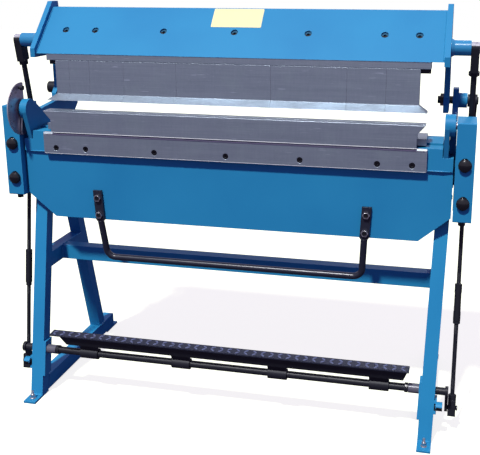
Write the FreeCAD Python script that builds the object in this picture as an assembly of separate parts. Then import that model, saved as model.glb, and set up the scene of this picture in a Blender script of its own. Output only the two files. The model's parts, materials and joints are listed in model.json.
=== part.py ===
import FreeCAD, Part
import math
import os

# Box and pan brake with a pedal-worked clamping beam, standing on two leg frames.
# Millimetres. X runs along the bend line, +Z is up, and the operator stands at -Y.
# Sizes below are measured from the line of the open nose (Y = 0) and the floor (Z = 0).
# On export everything moves forward so that the footprint is centred on the origin.

V = FreeCAD.Vector

# Clearances
running_fit = 0.05
seat_fit = 0.03
slip_gap = 1.0

# Leg frames
tube = 36.0
tube_wall = 3.0
rail_height = 42.0
leg_lean = 16.0
foot_plate = 6.0
leg_top_z = 624.0
front_foot_y = -114.0
front_top_y = 38.7
rear_foot_y = 281.0
rear_top_y = 157.0
front_plate_reach = 43.0
foot_plate_length = front_plate_reach + tube
rear_plate_end_y = 412.0
bottom_rail_end_y = 384.0
side_rail_z = 357.0
cross_rail_y = 98.0
top_rail_front_y = 30.0
top_rail_back_y = 200.0
anchor_hole_radius = 6.5

# Bend line, jaws and bed
jaw_top_z = 824.0
hinge_y = -7.0
hinge_z = 824.0
leaf_air = 0.5
finger_widths = (39.5, 60.0, 100.0, 150.0, 260.0, 200.0, 100.0, 84.5)
blade_half = sum(finger_widths) / 2.0
flare_half = blade_half + 21.0
flare_depth = 24.0
lower_blade_front = -5.0
lower_blade_thick = 21.0
lower_base_top = 785.0
lower_base_front = 1.0
lower_base_back = 84.0
lower_base_half = flare_half + 2.0
bed_top_z = 768.0
bed_front_y = 42.0
bed_step_y = 137.0
bed_back_y = 230.0
bed_bottom_z = 680.0
bed_rear_top_z = 740.0
bed_rear_bottom_z = 664.0
bed_wall = 8.0

# Stations across the width, each one out from the piece inside it
holder_half = flare_half + 5.0
beam_half = holder_half + 31.0
end_thick = 14.0
bed_front_half = beam_half + 7.0
leaf_half = bed_front_half + slip_gap
cheek_inner_x = leaf_half + 2.0
cheek_thick = 12.0
side_inner_x = cheek_inner_x + cheek_thick + slip_gap
side_thick = 16.0
block_inner_x = side_inner_x + side_thick + slip_gap
block_width = 47.0
cheek_boss_end_x = block_inner_x - 4.0
apron_half = block_inner_x - 4.0
leaf_step_half = block_inner_x - 5.0
leg_top_x = side_inner_x - 7.0
leg_foot_x = leg_top_x - leg_lean
lower_rod_x = block_inner_x + 25.5
upper_rod_x = lower_rod_x + 8.0
crank_inner_x = lower_rod_x - 19.0

# Side plates that carry the beam, the bed and the hinge blocks
side_front_y = 40.0
side_shoulder_z = 809.0
side_rise_y = 168.0
side_rise_z = 822.0
lug_foot_y = 198.0
lug_foot_z = 832.0
lug_back_y = 300.0
lug_back_z = 795.0
pivot_y = 250.0
pivot_z = 849.5
pivot_radius = 10.5
pivot_boss_radius = 20.5
pivot_boss_length = 23.0
lug_height = 33.0

# Hinge blocks for the leaf
block_front_y = -27.0
block_depth = 40.0
block_bottom_z = 580.0
block_top_z = 834.0
hood_depth = 65.0
hood_thick = 22.0
block_bolt_z = (630.0, 728.0)
block_bolt_radius = 10.0
block_bolt_head = 15.0
slot_travel = 16.0
bracket_thick = 12.0
bracket_web = 8.0
bracket_bottom_z = 600.0
bracket_top_z = 760.0
hinge_pin_radius = 9.0
hinge_pin_end_x = block_inner_x + 38.0

# Bending leaf
leaf_front_y = -11.0
leaf_back_y = 34.0
leaf_top_z = 764.0
leaf_bottom_z = 706.0
leaf_step_z = 741.0
rail_front_y = -26.0
rail_back_y = -8.5
rail_foot_top = 780.0
tongue_thick = 8.0
tongue_bottom_z = 712.0
strip_half = flare_half + 6.0
strip_thick = 10.0
strip_top_z = 763.5
strip_bottom_z = 703.0
screw_z = 720.0
screw_pitch = 200.0
screw_x = (0.0, screw_pitch, 2.0 * screw_pitch, blade_half - 9.0)
screw_head_radius = 7.5
beam_screw_head = 9.6
beam_screw_depth = 4.0
screw_shank_radius = 5.0
socket_across = 7.0
socket_depth = 4.0
screw_reach = 32.0
apron_front_y = -6.0
apron_thick = 8.0
apron_corner_z = 584.0
apron_bottom_half = apron_half - 80.0
apron_bottom_z = 517.0
cheek_boss_radius = 28.0
cheek_skin = 3.0
cheek_tail_y = 115.0
cheek_tail_z = 767.0
pointer_ring_x = cheek_boss_end_x - 5.0
pointer_thick = 4.0
pointer_spigot = 14.0
pointer_reach = 70.0
pointer_angle = -105.0
leaf_swing = 135.0

# Protractor and its stop screw
dial_radius = 73.0
dial_thick = 3.0
dial_back_y = 6.0
stop_radius = 60.0
stop_angle = 98.0

# Leaf handle
handle_x = 371.5
handle_foot_x = 365.0
handle_rod = 9.0
handle_z = 401.0
handle_y = 10.0
handle_bend = 26.0
strap_lean = 5.0
strap_width = 25.0
strap_thick = 8.0
strap_top_z = 602.0
strap_bottom_z = 508.0
handle_bolt_z = (581.0, 532.0)
handle_bolt_head = 8.5

# Clamping beam, drawn open as it stands
beam_low_y = 22.9
beam_low_z = 974.7
beam_high_y = 139.1
beam_high_z = 1095.9
beam_back_y = 160.0
beam_wall = 10.0
end_proud = 13.0
end_top = 16.0
end_behind = 10.0
end_tip_z = 964.0
neck_z = 945.0
shoulder_y = 182.0
shoulder_z = 1040.0
arm_front_y = 140.0
arm_toe = 18.0
arm_toe_z = 833.0
arm_end_z = 820.0
arm_end_radius = 36.0
arm_back_z = 880.0
beam_screw_up = 85.0
backing_bar_width = 40.0
backing_bar_thick = 16.0
stub_y = 71.0
stub_z = 1007.5
stub_radius = 19.5
stub_flare_radius = 24.0
stub_flare_length = 9.0
stub_end_x = upper_rod_x - 10.5
stub_pin_radius = 11.0

# Upper jaw and its fingers
holder_back_y = 64.0
holder_height = 18.0
finger_front_y = 24.0
finger_thick = 15.0
crease_z = 865.5
nose_y = 0.0
nose_z = 850.0
sole_length = 44.0
heel_height = 9.0
finger_gap = 0.4
clamp_bar_thick = 16.0
clamp_bar_height = 12.0
clamp_bar_half = holder_half - 1.0
nose_air = 0.4

# Pull linkage
knee_y = 115.5
knee_z = 775.0
pull_y = 76.0
pull_z = 775.0
crook_y = 335.0
crook_z = 780.0
knee_pin_radius = 6.0
eye_thick = 10.5
lever_inner_x = upper_rod_x + 6.5
lever_thick = 9.0
lever_width = 20.0
lever_hub_radius = 17.5
lower_rod_radius = 5.5
upper_rod_radius = 7.5
rod_end_width = 20.4
upper_end_depth = 33.0
upper_end_length = 60.0
lower_end_depth = 26.0
lower_end_length = 42.0
lower_end_below = 20.0
turnbuckle_radius = 9.5
turnbuckle_low_z = 304.0
turnbuckle_high_z = 400.0
open_pivot_gap = 4.0
knee_eye_radius = 14.0

# Pedal
shaft_y = -67.0
shaft_z = 131.0
shaft_radius = 10.0
crank_radius = 70.0
crank_thick = 8.0
crank_hub_radius = 14.0
crank_eye_radius = 12.0
crank_width = 18.0
crank_pin_radius = 6.0
bearing_low_z = 60.0
bearing_high_z = 156.0
bearing_plate = 6.0
bush_radius = 12.8
bush_wall = 2.0
bush_length = 26.0
collar_length = 9.0
tread_front = 14.0
tread_half = leg_foot_x - 47.0
tread_height = 63.0
tread_tilt = 20.0
tread_depth = 30.0
tread_web = 30.0
tread_thick = 4.0
tread_lip = 7.0
tread_web_back = 6.0
tread_end_slant = 11.0
pedal_arm_pitch = 276.0
pedal_arm_shift = 14.0
pedal_arm_width = 52.0
clamp_radius = 15.5
clamp_slit = 2.0
arm_plate = 9.0
lug_z = 95.0
lug_block_height = 34.0
lug_block_thick = 6.0
ring_y = -88.0
ring_radius = 14.0
ring_hole_radius = 10.5
ring_bolt_radius = 9.5
ring_length = 15.0

origin_y = (front_foot_y - front_plate_reach + rear_plate_end_y) / 2.0
clamp_length = math.hypot(nose_y - pivot_y, nose_z - pivot_z)
open_drop = math.asin((pivot_z - nose_z) / clamp_length)
shut_drop = math.asin((pivot_z - jaw_top_z - nose_air) / clamp_length)
closing_angle = math.degrees(shut_drop - open_drop)


def box(x0, x1, y0, y1, z0, z1):
    return Part.makeBox(x1 - x0, y1 - y0, z1 - z0, V(x0, y0, z0))


def rod_x(x0, x1, y, z, radius):
    return Part.makeCylinder(radius, x1 - x0, V(x0, y, z), V(1, 0, 0))


def rod_between(start, end, radius):
    direction = end - start
    return Part.makeCylinder(radius, direction.Length, start, direction)


def prism_x(points, x0, x1):
    """A YZ outline carried along X."""
    corners = [V(x0, y, z) for y, z in points]
    face = Part.Face(Part.makePolygon(corners + corners[:1]))
    return face.extrude(V(x1 - x0, 0, 0))


def prism_y(points, y0, y1):
    """An XZ outline carried along Y."""
    corners = [V(x, y0, z) for x, z in points]
    face = Part.Face(Part.makePolygon(corners + corners[:1]))
    return face.extrude(V(0, y1 - y0, 0))


def hexagon(centre, direction, across, length):
    """A hexagon bar from centre along direction."""
    reach = across / math.sqrt(3.0)
    ring = [V(reach * math.cos(math.radians(60 * i)), reach * math.sin(math.radians(60 * i)), 0)
            for i in range(6)]
    bar = Part.Face(Part.makePolygon(ring + ring[:1])).extrude(V(0, 0, length))
    bar.Placement = FreeCAD.Placement(centre, FreeCAD.Rotation(V(0, 0, 1), direction))
    return bar


def turned(y, z, about_y, about_z, degrees):
    """A YZ point turned about an axis along X."""
    c = math.cos(math.radians(degrees))
    s = math.sin(math.radians(degrees))
    dy = y - about_y
    dz = z - about_z
    return about_y + c * dy - s * dz, about_z + s * dy + c * dz


def meeting_point(ay, az, a_reach, by, bz, b_reach):
    """Where two circles in the YZ plane cross, on the side nearer +Y."""
    span = math.hypot(by - ay, bz - az)
    along = (a_reach ** 2 - b_reach ** 2 + span ** 2) / (2.0 * span)
    off = math.sqrt(a_reach ** 2 - along ** 2)
    uy = (by - ay) / span
    uz = (bz - az) / span
    return ay + along * uy + off * uz, az + along * uz - off * uy


def mirrored(shape):
    return shape.mirror(V(0, 0, 0), V(1, 0, 0))


def both(shape):
    return [shape, mirrored(shape)]


def rounded_path(points, radius):
    """Straight runs joined by tangent arcs."""
    edges = []
    start = points[0]
    for i in range(1, len(points) - 1):
        corner = points[i]
        back = (points[i - 1] - corner).normalize()
        ahead = (points[i + 1] - corner).normalize()
        half = back.getAngle(ahead) / 2.0
        reach = radius / math.tan(half)
        entry = corner + back * reach
        leave = corner + ahead * reach
        middle = (back + ahead).normalize()
        bulge = corner + middle * (radius / math.sin(half) - radius)
        edges.append(Part.LineSegment(start, entry).toShape())
        edges.append(Part.Arc(entry, bulge, leave).toShape())
        start = leave
    edges.append(Part.LineSegment(start, points[-1]).toShape())
    return Part.Wire(edges)


def pipe(path, radius):
    first = path.Edges[0]
    start = first.valueAt(first.FirstParameter)
    tangent = first.tangentAt(first.FirstParameter)
    ring = Part.Wire([Part.makeCircle(radius, start, tangent)])
    return path.makePipeShell([ring], True, False)


def rounded_along_x(shape, radius, keep):
    """Round the edges that run along X where keep(y, z) is true."""
    chosen = []
    for edge in shape.Edges:
        a = edge.Vertexes[0].Point
        b = edge.Vertexes[-1].Point
        runs_along = abs(a.y - b.y) < 1e-6 and abs(a.z - b.z) < 1e-6 and abs(a.x - b.x) > 1e-6
        if runs_along and keep(a.y, a.z):
            chosen.append(edge)
    return shape.makeFillet(radius, chosen)


def lean(z):
    """How far the leg frame's centre plane has moved out at a height."""
    share = (z - foot_plate) / (leg_top_z - foot_plate)
    return leg_foot_x + share * (leg_top_x - leg_foot_x)


def leaning_bar(x_half, y_low, y_high, depth, z0, z1, x_shift=0.0):
    """A bar of level section that follows the lean of the leg frame."""
    x0 = lean(z0) + x_shift
    x1 = lean(z1) + x_shift
    corners = [V(x0 - x_half, y_low, z0), V(x0 + x_half, y_low, z0),
               V(x0 + x_half, y_low + depth, z0), V(x0 - x_half, y_low + depth, z0)]
    face = Part.Face(Part.makePolygon(corners + corners[:1]))
    return face.extrude(V(x1 - x0, y_high - y_low, z1 - z0))


def leg(y_low, y_high, z0):
    inner_half = tube / 2.0 - tube_wall
    outer = leaning_bar(tube / 2.0, y_low, y_high, tube, z0, leg_top_z)
    bore = leaning_bar(inner_half, y_low + tube_wall, y_high + tube_wall, 2.0 * inner_half,
                       z0, leg_top_z)
    return outer, outer.cut(bore)


def front_leg_y(z):
    share = (z - foot_plate) / (leg_top_z - foot_plate)
    return front_foot_y + share * (front_top_y - front_foot_y)


def foot(y0, bolt_y):
    plate = box(leg_foot_x - tube / 2.0, leg_foot_x + tube / 2.0, y0, y0 + foot_plate_length,
                0.0, foot_plate)
    hole = Part.makeCylinder(anchor_hole_radius, foot_plate, V(leg_foot_x, bolt_y, 0))
    return plate.cut(hole)


front_bolt_y = front_foot_y - front_plate_reach / 2.0
rear_bolt_y = (bottom_rail_end_y + rear_plate_end_y) / 2.0


def make_front_leg():
    envelope, tube_leg = leg(front_foot_y, front_top_y, foot_plate)
    shaft_hole = rod_x(leg_foot_x - tube, leg_top_x + tube, shaft_y, shaft_z,
                       shaft_radius + slip_gap)
    plate = foot(front_foot_y - front_plate_reach, front_bolt_y)
    return envelope, tube_leg.cut(shaft_hole).fuse(plate)


def make_rear_leg():
    return leg(rear_foot_y, rear_top_y, foot_plate + rail_height)


def make_bottom_rail(front_envelope):
    x0 = leg_foot_x - tube / 2.0
    x1 = leg_foot_x + tube / 2.0
    z0 = foot_plate
    z1 = foot_plate + rail_height
    outer = box(x0, x1, front_foot_y, bottom_rail_end_y, z0, z1)
    bore = box(x0 + tube_wall, x1 - tube_wall, front_foot_y, bottom_rail_end_y - tube_wall,
               z0 + tube_wall, z1 - tube_wall)
    pad = foot(rear_plate_end_y - foot_plate_length, rear_bolt_y)
    pieces = outer.cut(bore).cut(front_envelope)
    rail = max(pieces.Solids, key=lambda solid: solid.Volume)
    return rail.fuse(pad)


def make_side_rail(front_envelope, rear_envelope):
    z0 = side_rail_z
    z1 = side_rail_z + rail_height
    reach_back = rear_foot_y - front_foot_y
    outer = leaning_bar(tube / 2.0, front_foot_y, front_foot_y, reach_back + tube, z0, z1)
    bore = leaning_bar(tube / 2.0 - tube_wall, front_foot_y, front_foot_y, reach_back + tube,
                       z0 + tube_wall, z1 - tube_wall)
    pieces = outer.cut(bore).cut(front_envelope).cut(rear_envelope)
    return max(pieces.Solids, key=lambda solid: solid.BoundBox.YMin < cross_rail_y < solid.BoundBox.YMax)


def make_cross_rail(side_rail):
    y0 = cross_rail_y - tube / 2.0
    y1 = cross_rail_y + tube / 2.0
    z0 = side_rail_z
    z1 = side_rail_z + rail_height
    reach = leg_top_x
    outer = box(-reach, reach, y0, y1, z0, z1)
    bore = box(-reach, reach, y0 + tube_wall, y1 - tube_wall, z0 + tube_wall, z1 - tube_wall)
    end_cut = leaning_bar(tube, y0 - tube, y0 - tube, 3.0 * tube, z0, z1, tube / 2.0)
    return outer.cut(bore).cut(end_cut).cut(mirrored(end_cut))


def make_top_rail():
    x0 = leg_top_x - tube / 2.0
    x1 = leg_top_x + tube / 2.0
    outer = box(x0, x1, top_rail_front_y, top_rail_back_y, leg_top_z, leg_top_z + tube)
    bore = box(x0 + tube_wall, x1 - tube_wall, top_rail_front_y + tube_wall,
               top_rail_back_y - tube_wall, leg_top_z + tube_wall, leg_top_z + tube - tube_wall)
    return outer.cut(bore)


def make_side_plate():
    """Upright plate with the pivot lug, its boss and the bracket behind the hinge block."""
    x0 = side_inner_x
    x1 = side_inner_x + side_thick
    plate_foot_z = leg_top_z + tube
    lug_front = pivot_y - pivot_boss_radius + 0.5
    outline = [(side_front_y, plate_foot_z), (side_front_y, side_shoulder_z),
               (side_rise_y, side_rise_z), (lug_foot_y, lug_foot_z),
               (lug_front, pivot_z - pivot_boss_radius / 2.0), (lug_front, pivot_z + lug_height),
               (pivot_y + pivot_boss_radius, pivot_z + lug_height), (lug_back_y, pivot_z),
               (lug_back_y, lug_back_z), (bed_back_y + bed_wall, bed_rear_top_z),
               (top_rail_back_y, plate_foot_z)]
    plate = prism_x(outline, x0, x1)
    boss = rod_x(x1, x1 + pivot_boss_length, pivot_y, pivot_z, pivot_boss_radius)
    bracket_y = block_front_y + block_depth
    outer_x = block_inner_x + block_width
    flange = box(x1, outer_x, bracket_y, bracket_y + bracket_thick, bracket_bottom_z, bracket_top_z)
    web = box(x1, x1 + bracket_web, bracket_y, side_front_y + 22.0, bracket_bottom_z, bracket_top_z)
    body = plate.fuse(boss).fuse(flange).fuse(web)
    body = body.cut(rod_x(x0, x1 + pivot_boss_length, pivot_y, pivot_z, pivot_radius + running_fit))
    for z in block_bolt_z:
        hole = Part.makeCylinder(block_bolt_radius + running_fit, bracket_thick,
                                 V(block_inner_x + block_width / 2.0, bracket_y, z), V(0, 1, 0))
        body = body.cut(hole)
    return body


def make_bed_beam():
    """Hollow bed: a stiff box under the jaw and a lower one behind it, reaching the side plates."""
    front = box(-bed_front_half, bed_front_half, bed_front_y, bed_step_y, bed_bottom_z, bed_top_z)
    rear = box(-side_inner_x, side_inner_x, bed_step_y, bed_back_y, bed_rear_bottom_z,
               bed_rear_top_z)
    front_bore = box(-bed_front_half, bed_front_half, bed_front_y + bed_wall,
                     bed_step_y - bed_wall, bed_bottom_z + bed_wall, bed_top_z - bed_wall)
    rear_bore = box(-side_inner_x, side_inner_x, bed_step_y + bed_wall, bed_back_y - bed_wall,
                    bed_rear_bottom_z + bed_wall, bed_rear_top_z - bed_wall)
    return front.fuse(rear).cut(front_bore).cut(rear_bore).removeSplitter()


def flared_outline(low_z, top_z):
    """XZ outline of a jaw: straight blade whose ends spread towards the working edge."""
    shoulder = top_z - flare_depth
    return [(-blade_half, low_z), (blade_half, low_z), (blade_half, shoulder),
            (flare_half, top_z), (-flare_half, top_z), (-blade_half, shoulder)]


def make_lower_jaw():
    blade = prism_y(flared_outline(lower_base_top, jaw_top_z), lower_blade_front,
                    lower_blade_front + lower_blade_thick)
    base = box(-lower_base_half, lower_base_half, lower_base_front, lower_base_back,
               bed_top_z, lower_base_top)
    return blade.fuse(base).removeSplitter()


def make_hinge_block():
    x0 = block_inner_x
    x1 = block_inner_x + block_width
    y0 = block_front_y
    y1 = block_front_y + block_depth
    middle = (x0 + x1) / 2.0
    body = box(x0, x1, y0, y1, block_bottom_z, block_top_z)
    body = body.fuse(box(x0, x1, y1, y1 + hood_depth, block_top_z - hood_thick, block_top_z))
    body = body.removeSplitter()
    body = rounded_along_x(body, 3.0, lambda y, z: y < y0 + 1.0 or y > y1 + 1.0)
    body = body.cut(rod_x(x0, hinge_pin_end_x + slip_gap, hinge_y, hinge_z,
                          hinge_pin_radius + running_fit))
    for z in block_bolt_z:
        reach = block_bolt_radius + 0.5
        slot = box(middle - reach, middle + reach, y0, y1, z - slot_travel / 2.0,
                   z + slot_travel / 2.0)
        for end in (z - slot_travel / 2.0, z + slot_travel / 2.0):
            slot = slot.fuse(Part.makeCylinder(reach, block_depth, V(middle, y0, end), V(0, 1, 0)))
        body = body.cut(slot)
    screw_top = block_bolt_z[0] - slot_travel / 2.0 - block_bolt_radius
    screw_hole = Part.makeCylinder(5.0 + running_fit, screw_top - block_bottom_z,
                                   V(middle, (y0 + y1) / 2.0, block_bottom_z))
    return body.cut(screw_hole)


def make_block_bolt(z):
    """Domed bolt through the block and bracket, with a washer and a nut behind."""
    middle = block_inner_x + block_width / 2.0
    y0 = block_front_y
    back = block_front_y + block_depth + bracket_thick
    head = 6.0
    washer = Part.makeCylinder(block_bolt_head + 1.5, 2.0, V(middle, y0 - 2.0, z), V(0, 1, 0))
    shank = Part.makeCylinder(block_bolt_radius, back - y0 + 18.0, V(middle, y0, z), V(0, 1, 0))
    rim = Part.makeCylinder(block_bolt_head, head, V(middle, y0 - 2.0 - head, z), V(0, 1, 0))
    dome = Part.makeSphere(block_bolt_head * 1.6,
                           V(middle, y0 - 2.0 - head + block_bolt_head * 1.25, z))
    skirt = Part.makeCylinder(block_bolt_head, 12.0, V(middle, y0 - 2.0 - 12.0, z), V(0, 1, 0))
    nut = hexagon(V(middle, back, z), V(0, 1, 0), 2.6 * block_bolt_radius, 14.0)
    return dome.common(skirt).fuse(rim).fuse(washer).fuse(shank).fuse(nut)


def make_block_screw():
    """Jack screw under the block: it bears on the lower bolt and sets the leaf's height."""
    middle = block_inner_x + block_width / 2.0
    y = block_front_y + block_depth / 2.0
    length = block_bolt_z[0] - slot_travel / 2.0 - block_bolt_radius - block_bottom_z
    shank = Part.makeCylinder(5.0, length, V(middle, y, block_bottom_z))
    head = hexagon(V(middle, y, block_bottom_z - 12.0), V(0, 0, 1), 16.0, 12.0)
    return shank.fuse(head)


def make_protractor():
    """Half disc on the inner face of the left block, graduated side towards the middle."""
    x0 = block_inner_x - dial_thick
    x1 = block_inner_x
    disc = rod_x(x0, x1, hinge_y, hinge_z, dial_radius)
    reach = dial_radius + 5.0
    keep = box(x0, x1, hinge_y - reach, dial_back_y, hinge_z - reach, hinge_z + reach)
    hole = rod_x(x0, x1, hinge_y, hinge_z, hinge_pin_radius + slip_gap)
    return mirrored(disc.common(keep).cut(hole))


def make_stop_screw():
    """Knurled stop screw set in the upper rim of the protractor."""
    y, z = turned(hinge_y + stop_radius, hinge_z, hinge_y, hinge_z, stop_angle)
    x0 = block_inner_x - dial_thick
    head = rod_x(x0 - 13.0, x0 - 5.0, y, z, 6.5)
    stem = rod_x(x0 - 5.0, x0, y, z, 3.5)
    return mirrored(head.fuse(stem))


def bearing_inner_x():
    return lean(bearing_low_z) - tube / 2.0 - bearing_plate


def make_pedal_bearing():
    """Bearing plate on the inner face of a front leg."""
    y0 = front_leg_y(bearing_low_z)
    y1 = front_leg_y(bearing_high_z)
    shift = -(tube + bearing_plate) / 2.0
    plate = leaning_bar(bearing_plate / 2.0, y0, y1, tube, bearing_low_z, bearing_high_z, shift)
    bore = rod_x(bearing_inner_x() - tube, leg_top_x + tube, shaft_y, shaft_z, bush_radius - bush_wall)
    return plate.cut(bore)


def make_pedal_bush():
    """Plain bush pressed against the bearing plate, round the pedal shaft."""
    x0 = bearing_inner_x() - bush_length
    x1 = lean(shaft_z) - tube / 2.0 - bearing_plate / 2.0
    bush = rod_x(x0, x1, shaft_y, shaft_z, bush_radius)
    y0 = front_leg_y(bearing_low_z)
    y1 = front_leg_y(bearing_high_z)
    plate_side = leaning_bar(tube, y0 - tube, y1 - tube, 4.0 * tube, bearing_low_z, bearing_high_z,
                             tube / 2.0 - bearing_plate)
    return bush.cut(plate_side).cut(rod_x(x0, x1, shaft_y, shaft_z, shaft_radius + running_fit))


def make_stop_lug():
    """Lug with a ring round a bolt end, on the outer face of a front leg."""
    low = lug_z - lug_block_height / 2.0
    high = lug_z + lug_block_height / 2.0
    half = lug_block_thick / 2.0
    x0 = lean(lug_z) + tube / 2.0
    x1 = x0 + lug_block_thick
    block = leaning_bar(half, front_leg_y(low), front_leg_y(high), tube - 4.0, low, high,
                        tube / 2.0 + half)
    ring = rod_x(x1 - 2.0, x1 + ring_length, ring_y, lug_z, ring_radius)
    ring = ring.cut(rod_x(x1 - 2.0, x1 + ring_length, ring_y, lug_z, ring_hole_radius))
    below = box(x0 - tube, x1 + tube, ring_y - tube, ring_y + tube, lug_z - tube, lug_z + 1.0)
    stem = rod_x(x0 + half, x1 + ring_length, ring_y, lug_z, ring_bolt_radius)
    bore = rod_x(x1 + 4.0, x1 + ring_length, ring_y, lug_z, ring_bolt_radius / 2.0)
    return block.fuse(ring.cut(below)).fuse(stem.cut(bore))


def beam_direction():
    rise = math.hypot(beam_high_y - beam_low_y, beam_high_z - beam_low_z)
    return (beam_high_y - beam_low_y) / rise, (beam_high_z - beam_low_z) / rise


def make_beam_shell():
    """Closed torsion box of the clamping beam, its front plate leaning back."""
    uy, uz = beam_direction()
    outer = [(beam_low_y, beam_low_z), (beam_high_y, beam_high_z), (beam_back_y, beam_high_z),
             (beam_back_y, beam_low_z)]
    w = beam_wall
    slope_in = w * (1.0 + uy) / uz
    inner = [(beam_low_y + slope_in, beam_low_z + w),
             (beam_high_y + w * (1.0 - uy) / uz, beam_high_z - w),
             (beam_back_y - w, beam_high_z - w), (beam_back_y - w, beam_low_z + w)]
    shell = prism_x(outer, -beam_half, beam_half).cut(prism_x(inner, -beam_half, beam_half))
    for screw in beam_screw_places():
        shell = shell.cut(rod_between(screw + beam_normal(), screw - beam_normal() * w * 1.2,
                                      beam_screw_head + seat_fit))
    return shell


def beam_normal():
    uy, uz = beam_direction()
    return V(0, -uz, uy)


def beam_screw_places():
    uy, uz = beam_direction()
    y = beam_low_y + beam_screw_up * uy
    z = beam_low_z + beam_screw_up * uz
    return [V(side * x, y, z) for x in screw_x for side in ((1,) if x == 0.0 else (-1, 1))]


def make_backing_bar():
    """Bar behind the front plate that the seven beam screws pull against."""
    uy, uz = beam_direction()
    inward = beam_normal() * -1.0
    centre = V(0, beam_low_y + beam_screw_up * uy, beam_low_z + beam_screw_up * uz)
    start = centre + inward * beam_wall
    along = V(0, uy, uz) * (backing_bar_width / 2.0)
    deep = inward * backing_bar_thick
    corners = [start - along, start + along, start + along + deep, start - along + deep]
    bar = prism_x([(c.y, c.z) for c in corners], -holder_half, holder_half)
    for screw in beam_screw_places():
        bar = bar.cut(rod_between(screw, screw + inward * (beam_wall + backing_bar_thick + 1.0),
                                  screw_shank_radius + seat_fit))
    return bar


def make_beam_screws():
    inward = beam_normal() * -1.0
    screws = []
    for place in beam_screw_places():
        face = place + inward * beam_screw_depth
        head = rod_between(face, place + inward * beam_wall, beam_screw_head)
        socket = hexagon(face, inward, socket_across, socket_depth)
        shank = rod_between(place + inward * beam_wall,
                            place + inward * (beam_wall + backing_bar_thick), screw_shank_radius)
        screws.append(head.cut(socket).fuse(shank))
    return screws


def make_end_plate():
    """End plate that runs down into the arm and turns on the pivot shaft."""
    uy, uz = beam_direction()
    low_y = beam_low_y - end_proud * uz
    low_z = beam_low_z + end_proud * uy
    tip_y = beam_low_y - 5.0
    kink_z = low_z + (tip_y - low_y) * uz / uy
    top_z = beam_high_z + end_top
    top_y = low_y + (top_z - low_z) * uy / uz
    x0 = beam_half
    x1 = beam_half + end_thick
    outline = [(tip_y, end_tip_z), (tip_y, kink_z), (top_y, top_z),
               (beam_back_y + end_behind, top_z), (shoulder_y, shoulder_z),
               (pivot_y + arm_end_radius, arm_back_z), (pivot_y + arm_end_radius, pivot_z),
               (pivot_y, arm_end_z), (arm_front_y - arm_toe, arm_toe_z),
               (arm_front_y - arm_toe, arm_toe_z + arm_toe), (arm_front_y, arm_toe_z + 2.0 * arm_toe),
               (arm_front_y, neck_z), (arm_front_y - arm_toe, end_tip_z)]
    plate = prism_x(outline, x0, x1)
    rear_round = rod_x(x0, x1, pivot_y, pivot_z, arm_end_radius)
    plate = plate.fuse(rear_round.common(box(x0, x1, pivot_y, pivot_y + arm_end_radius,
                                             arm_end_z, pivot_z))).removeSplitter()
    return plate.cut(rod_x(x0, x1, pivot_y, pivot_z, pivot_radius + seat_fit))


def make_stub_shaft():
    """Stub welded to the end plate; its journal carries the eye of the upper rod."""
    x0 = beam_half + end_thick
    flare = Part.makeCone(stub_flare_radius, stub_radius, stub_flare_length,
                          V(x0, stub_y, stub_z), V(1, 0, 0))
    body = rod_x(x0, stub_end_x, stub_y, stub_z, stub_radius)
    journal_end = upper_rod_x + rod_end_width / 2.0 + 2.0
    journal = rod_x(stub_end_x, journal_end, stub_y, stub_z, stub_pin_radius)
    return flare.fuse(body).fuse(journal)


def make_holder_bar():
    bar = box(-holder_half, holder_half, finger_front_y, holder_back_y,
              beam_low_z - holder_height, beam_low_z)
    return rounded_along_x(bar, 2.0, lambda y, z: z < beam_low_z - 1.0)


def make_clamp_bar():
    """Bar behind the finger blades that locks them against the holder."""
    y0 = finger_front_y + finger_thick
    top = beam_low_z - holder_height
    return box(-clamp_bar_half, clamp_bar_half, y0, y0 + clamp_bar_thick, top - clamp_bar_height,
               top)


def finger_profile():
    c = math.cos(math.radians(closing_angle))
    s = math.sin(math.radians(closing_angle))
    heel_y = nose_y + sole_length * c
    heel_z = nose_z - sole_length * s
    top = beam_low_z - holder_height
    back_y = finger_front_y + finger_thick
    return [(nose_y, nose_z), (heel_y, heel_z), (heel_y + heel_height * s, heel_z + heel_height * c),
            (back_y, crease_z + 12.0), (back_y, top), (finger_front_y, top),
            (finger_front_y, crease_z)]


def make_finger(x0, x1):
    """One finger of the upper jaw; the outermost ones spread towards the nose."""
    finger = prism_x(finger_profile(), x0, x1)
    lowest = nose_z - flare_depth
    for side in (-1.0, 1.0):
        outer = [(side * blade_half, beam_low_z), (side * blade_half, crease_z),
                 (side * flare_half, nose_z), (side * flare_half, lowest),
                 (side * (flare_half + tube), lowest), (side * (flare_half + tube), beam_low_z)]
        finger = finger.cut(prism_y(outer, nose_y - tube, nose_y + 4.0 * tube))
    return finger


def finger_spans():
    seams = [-flare_half]
    for width in finger_widths[:-1]:
        seams.append(max(seams[-1], -blade_half) + width)
    seams.append(flare_half)
    return [(a + (0.0 if a == -flare_half else finger_gap / 2.0),
             b - (0.0 if b == flare_half else finger_gap / 2.0))
            for a, b in zip(seams[:-1], seams[1:])]


def make_pivot_shaft():
    """Shaft through arm, lug and boss, with a nut inside and a collar at the lever."""
    inner = beam_half - 18.0
    outer = lever_inner_x + lever_thick + 3.0
    shaft = rod_x(inner, outer, pivot_y, pivot_z, pivot_radius)
    nut = hexagon(V(beam_half - 11.0, pivot_y, pivot_z), V(1, 0, 0), 30.0, 11.0)
    return shaft.fuse(nut)


def flat_bar(start, end, width, x0, x1):
    """A flat bar in the YZ plane between two (y, z) points."""
    a = V(0, start[0], start[1])
    b = V(0, end[0], end[1])
    along = (b - a).normalize()
    across = V(0, -along.z, along.y) * (width / 2.0)
    corners = (a + across, b + across, b - across, a - across)
    return prism_x([(corner.y, corner.z) for corner in corners], x0, x1)


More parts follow.
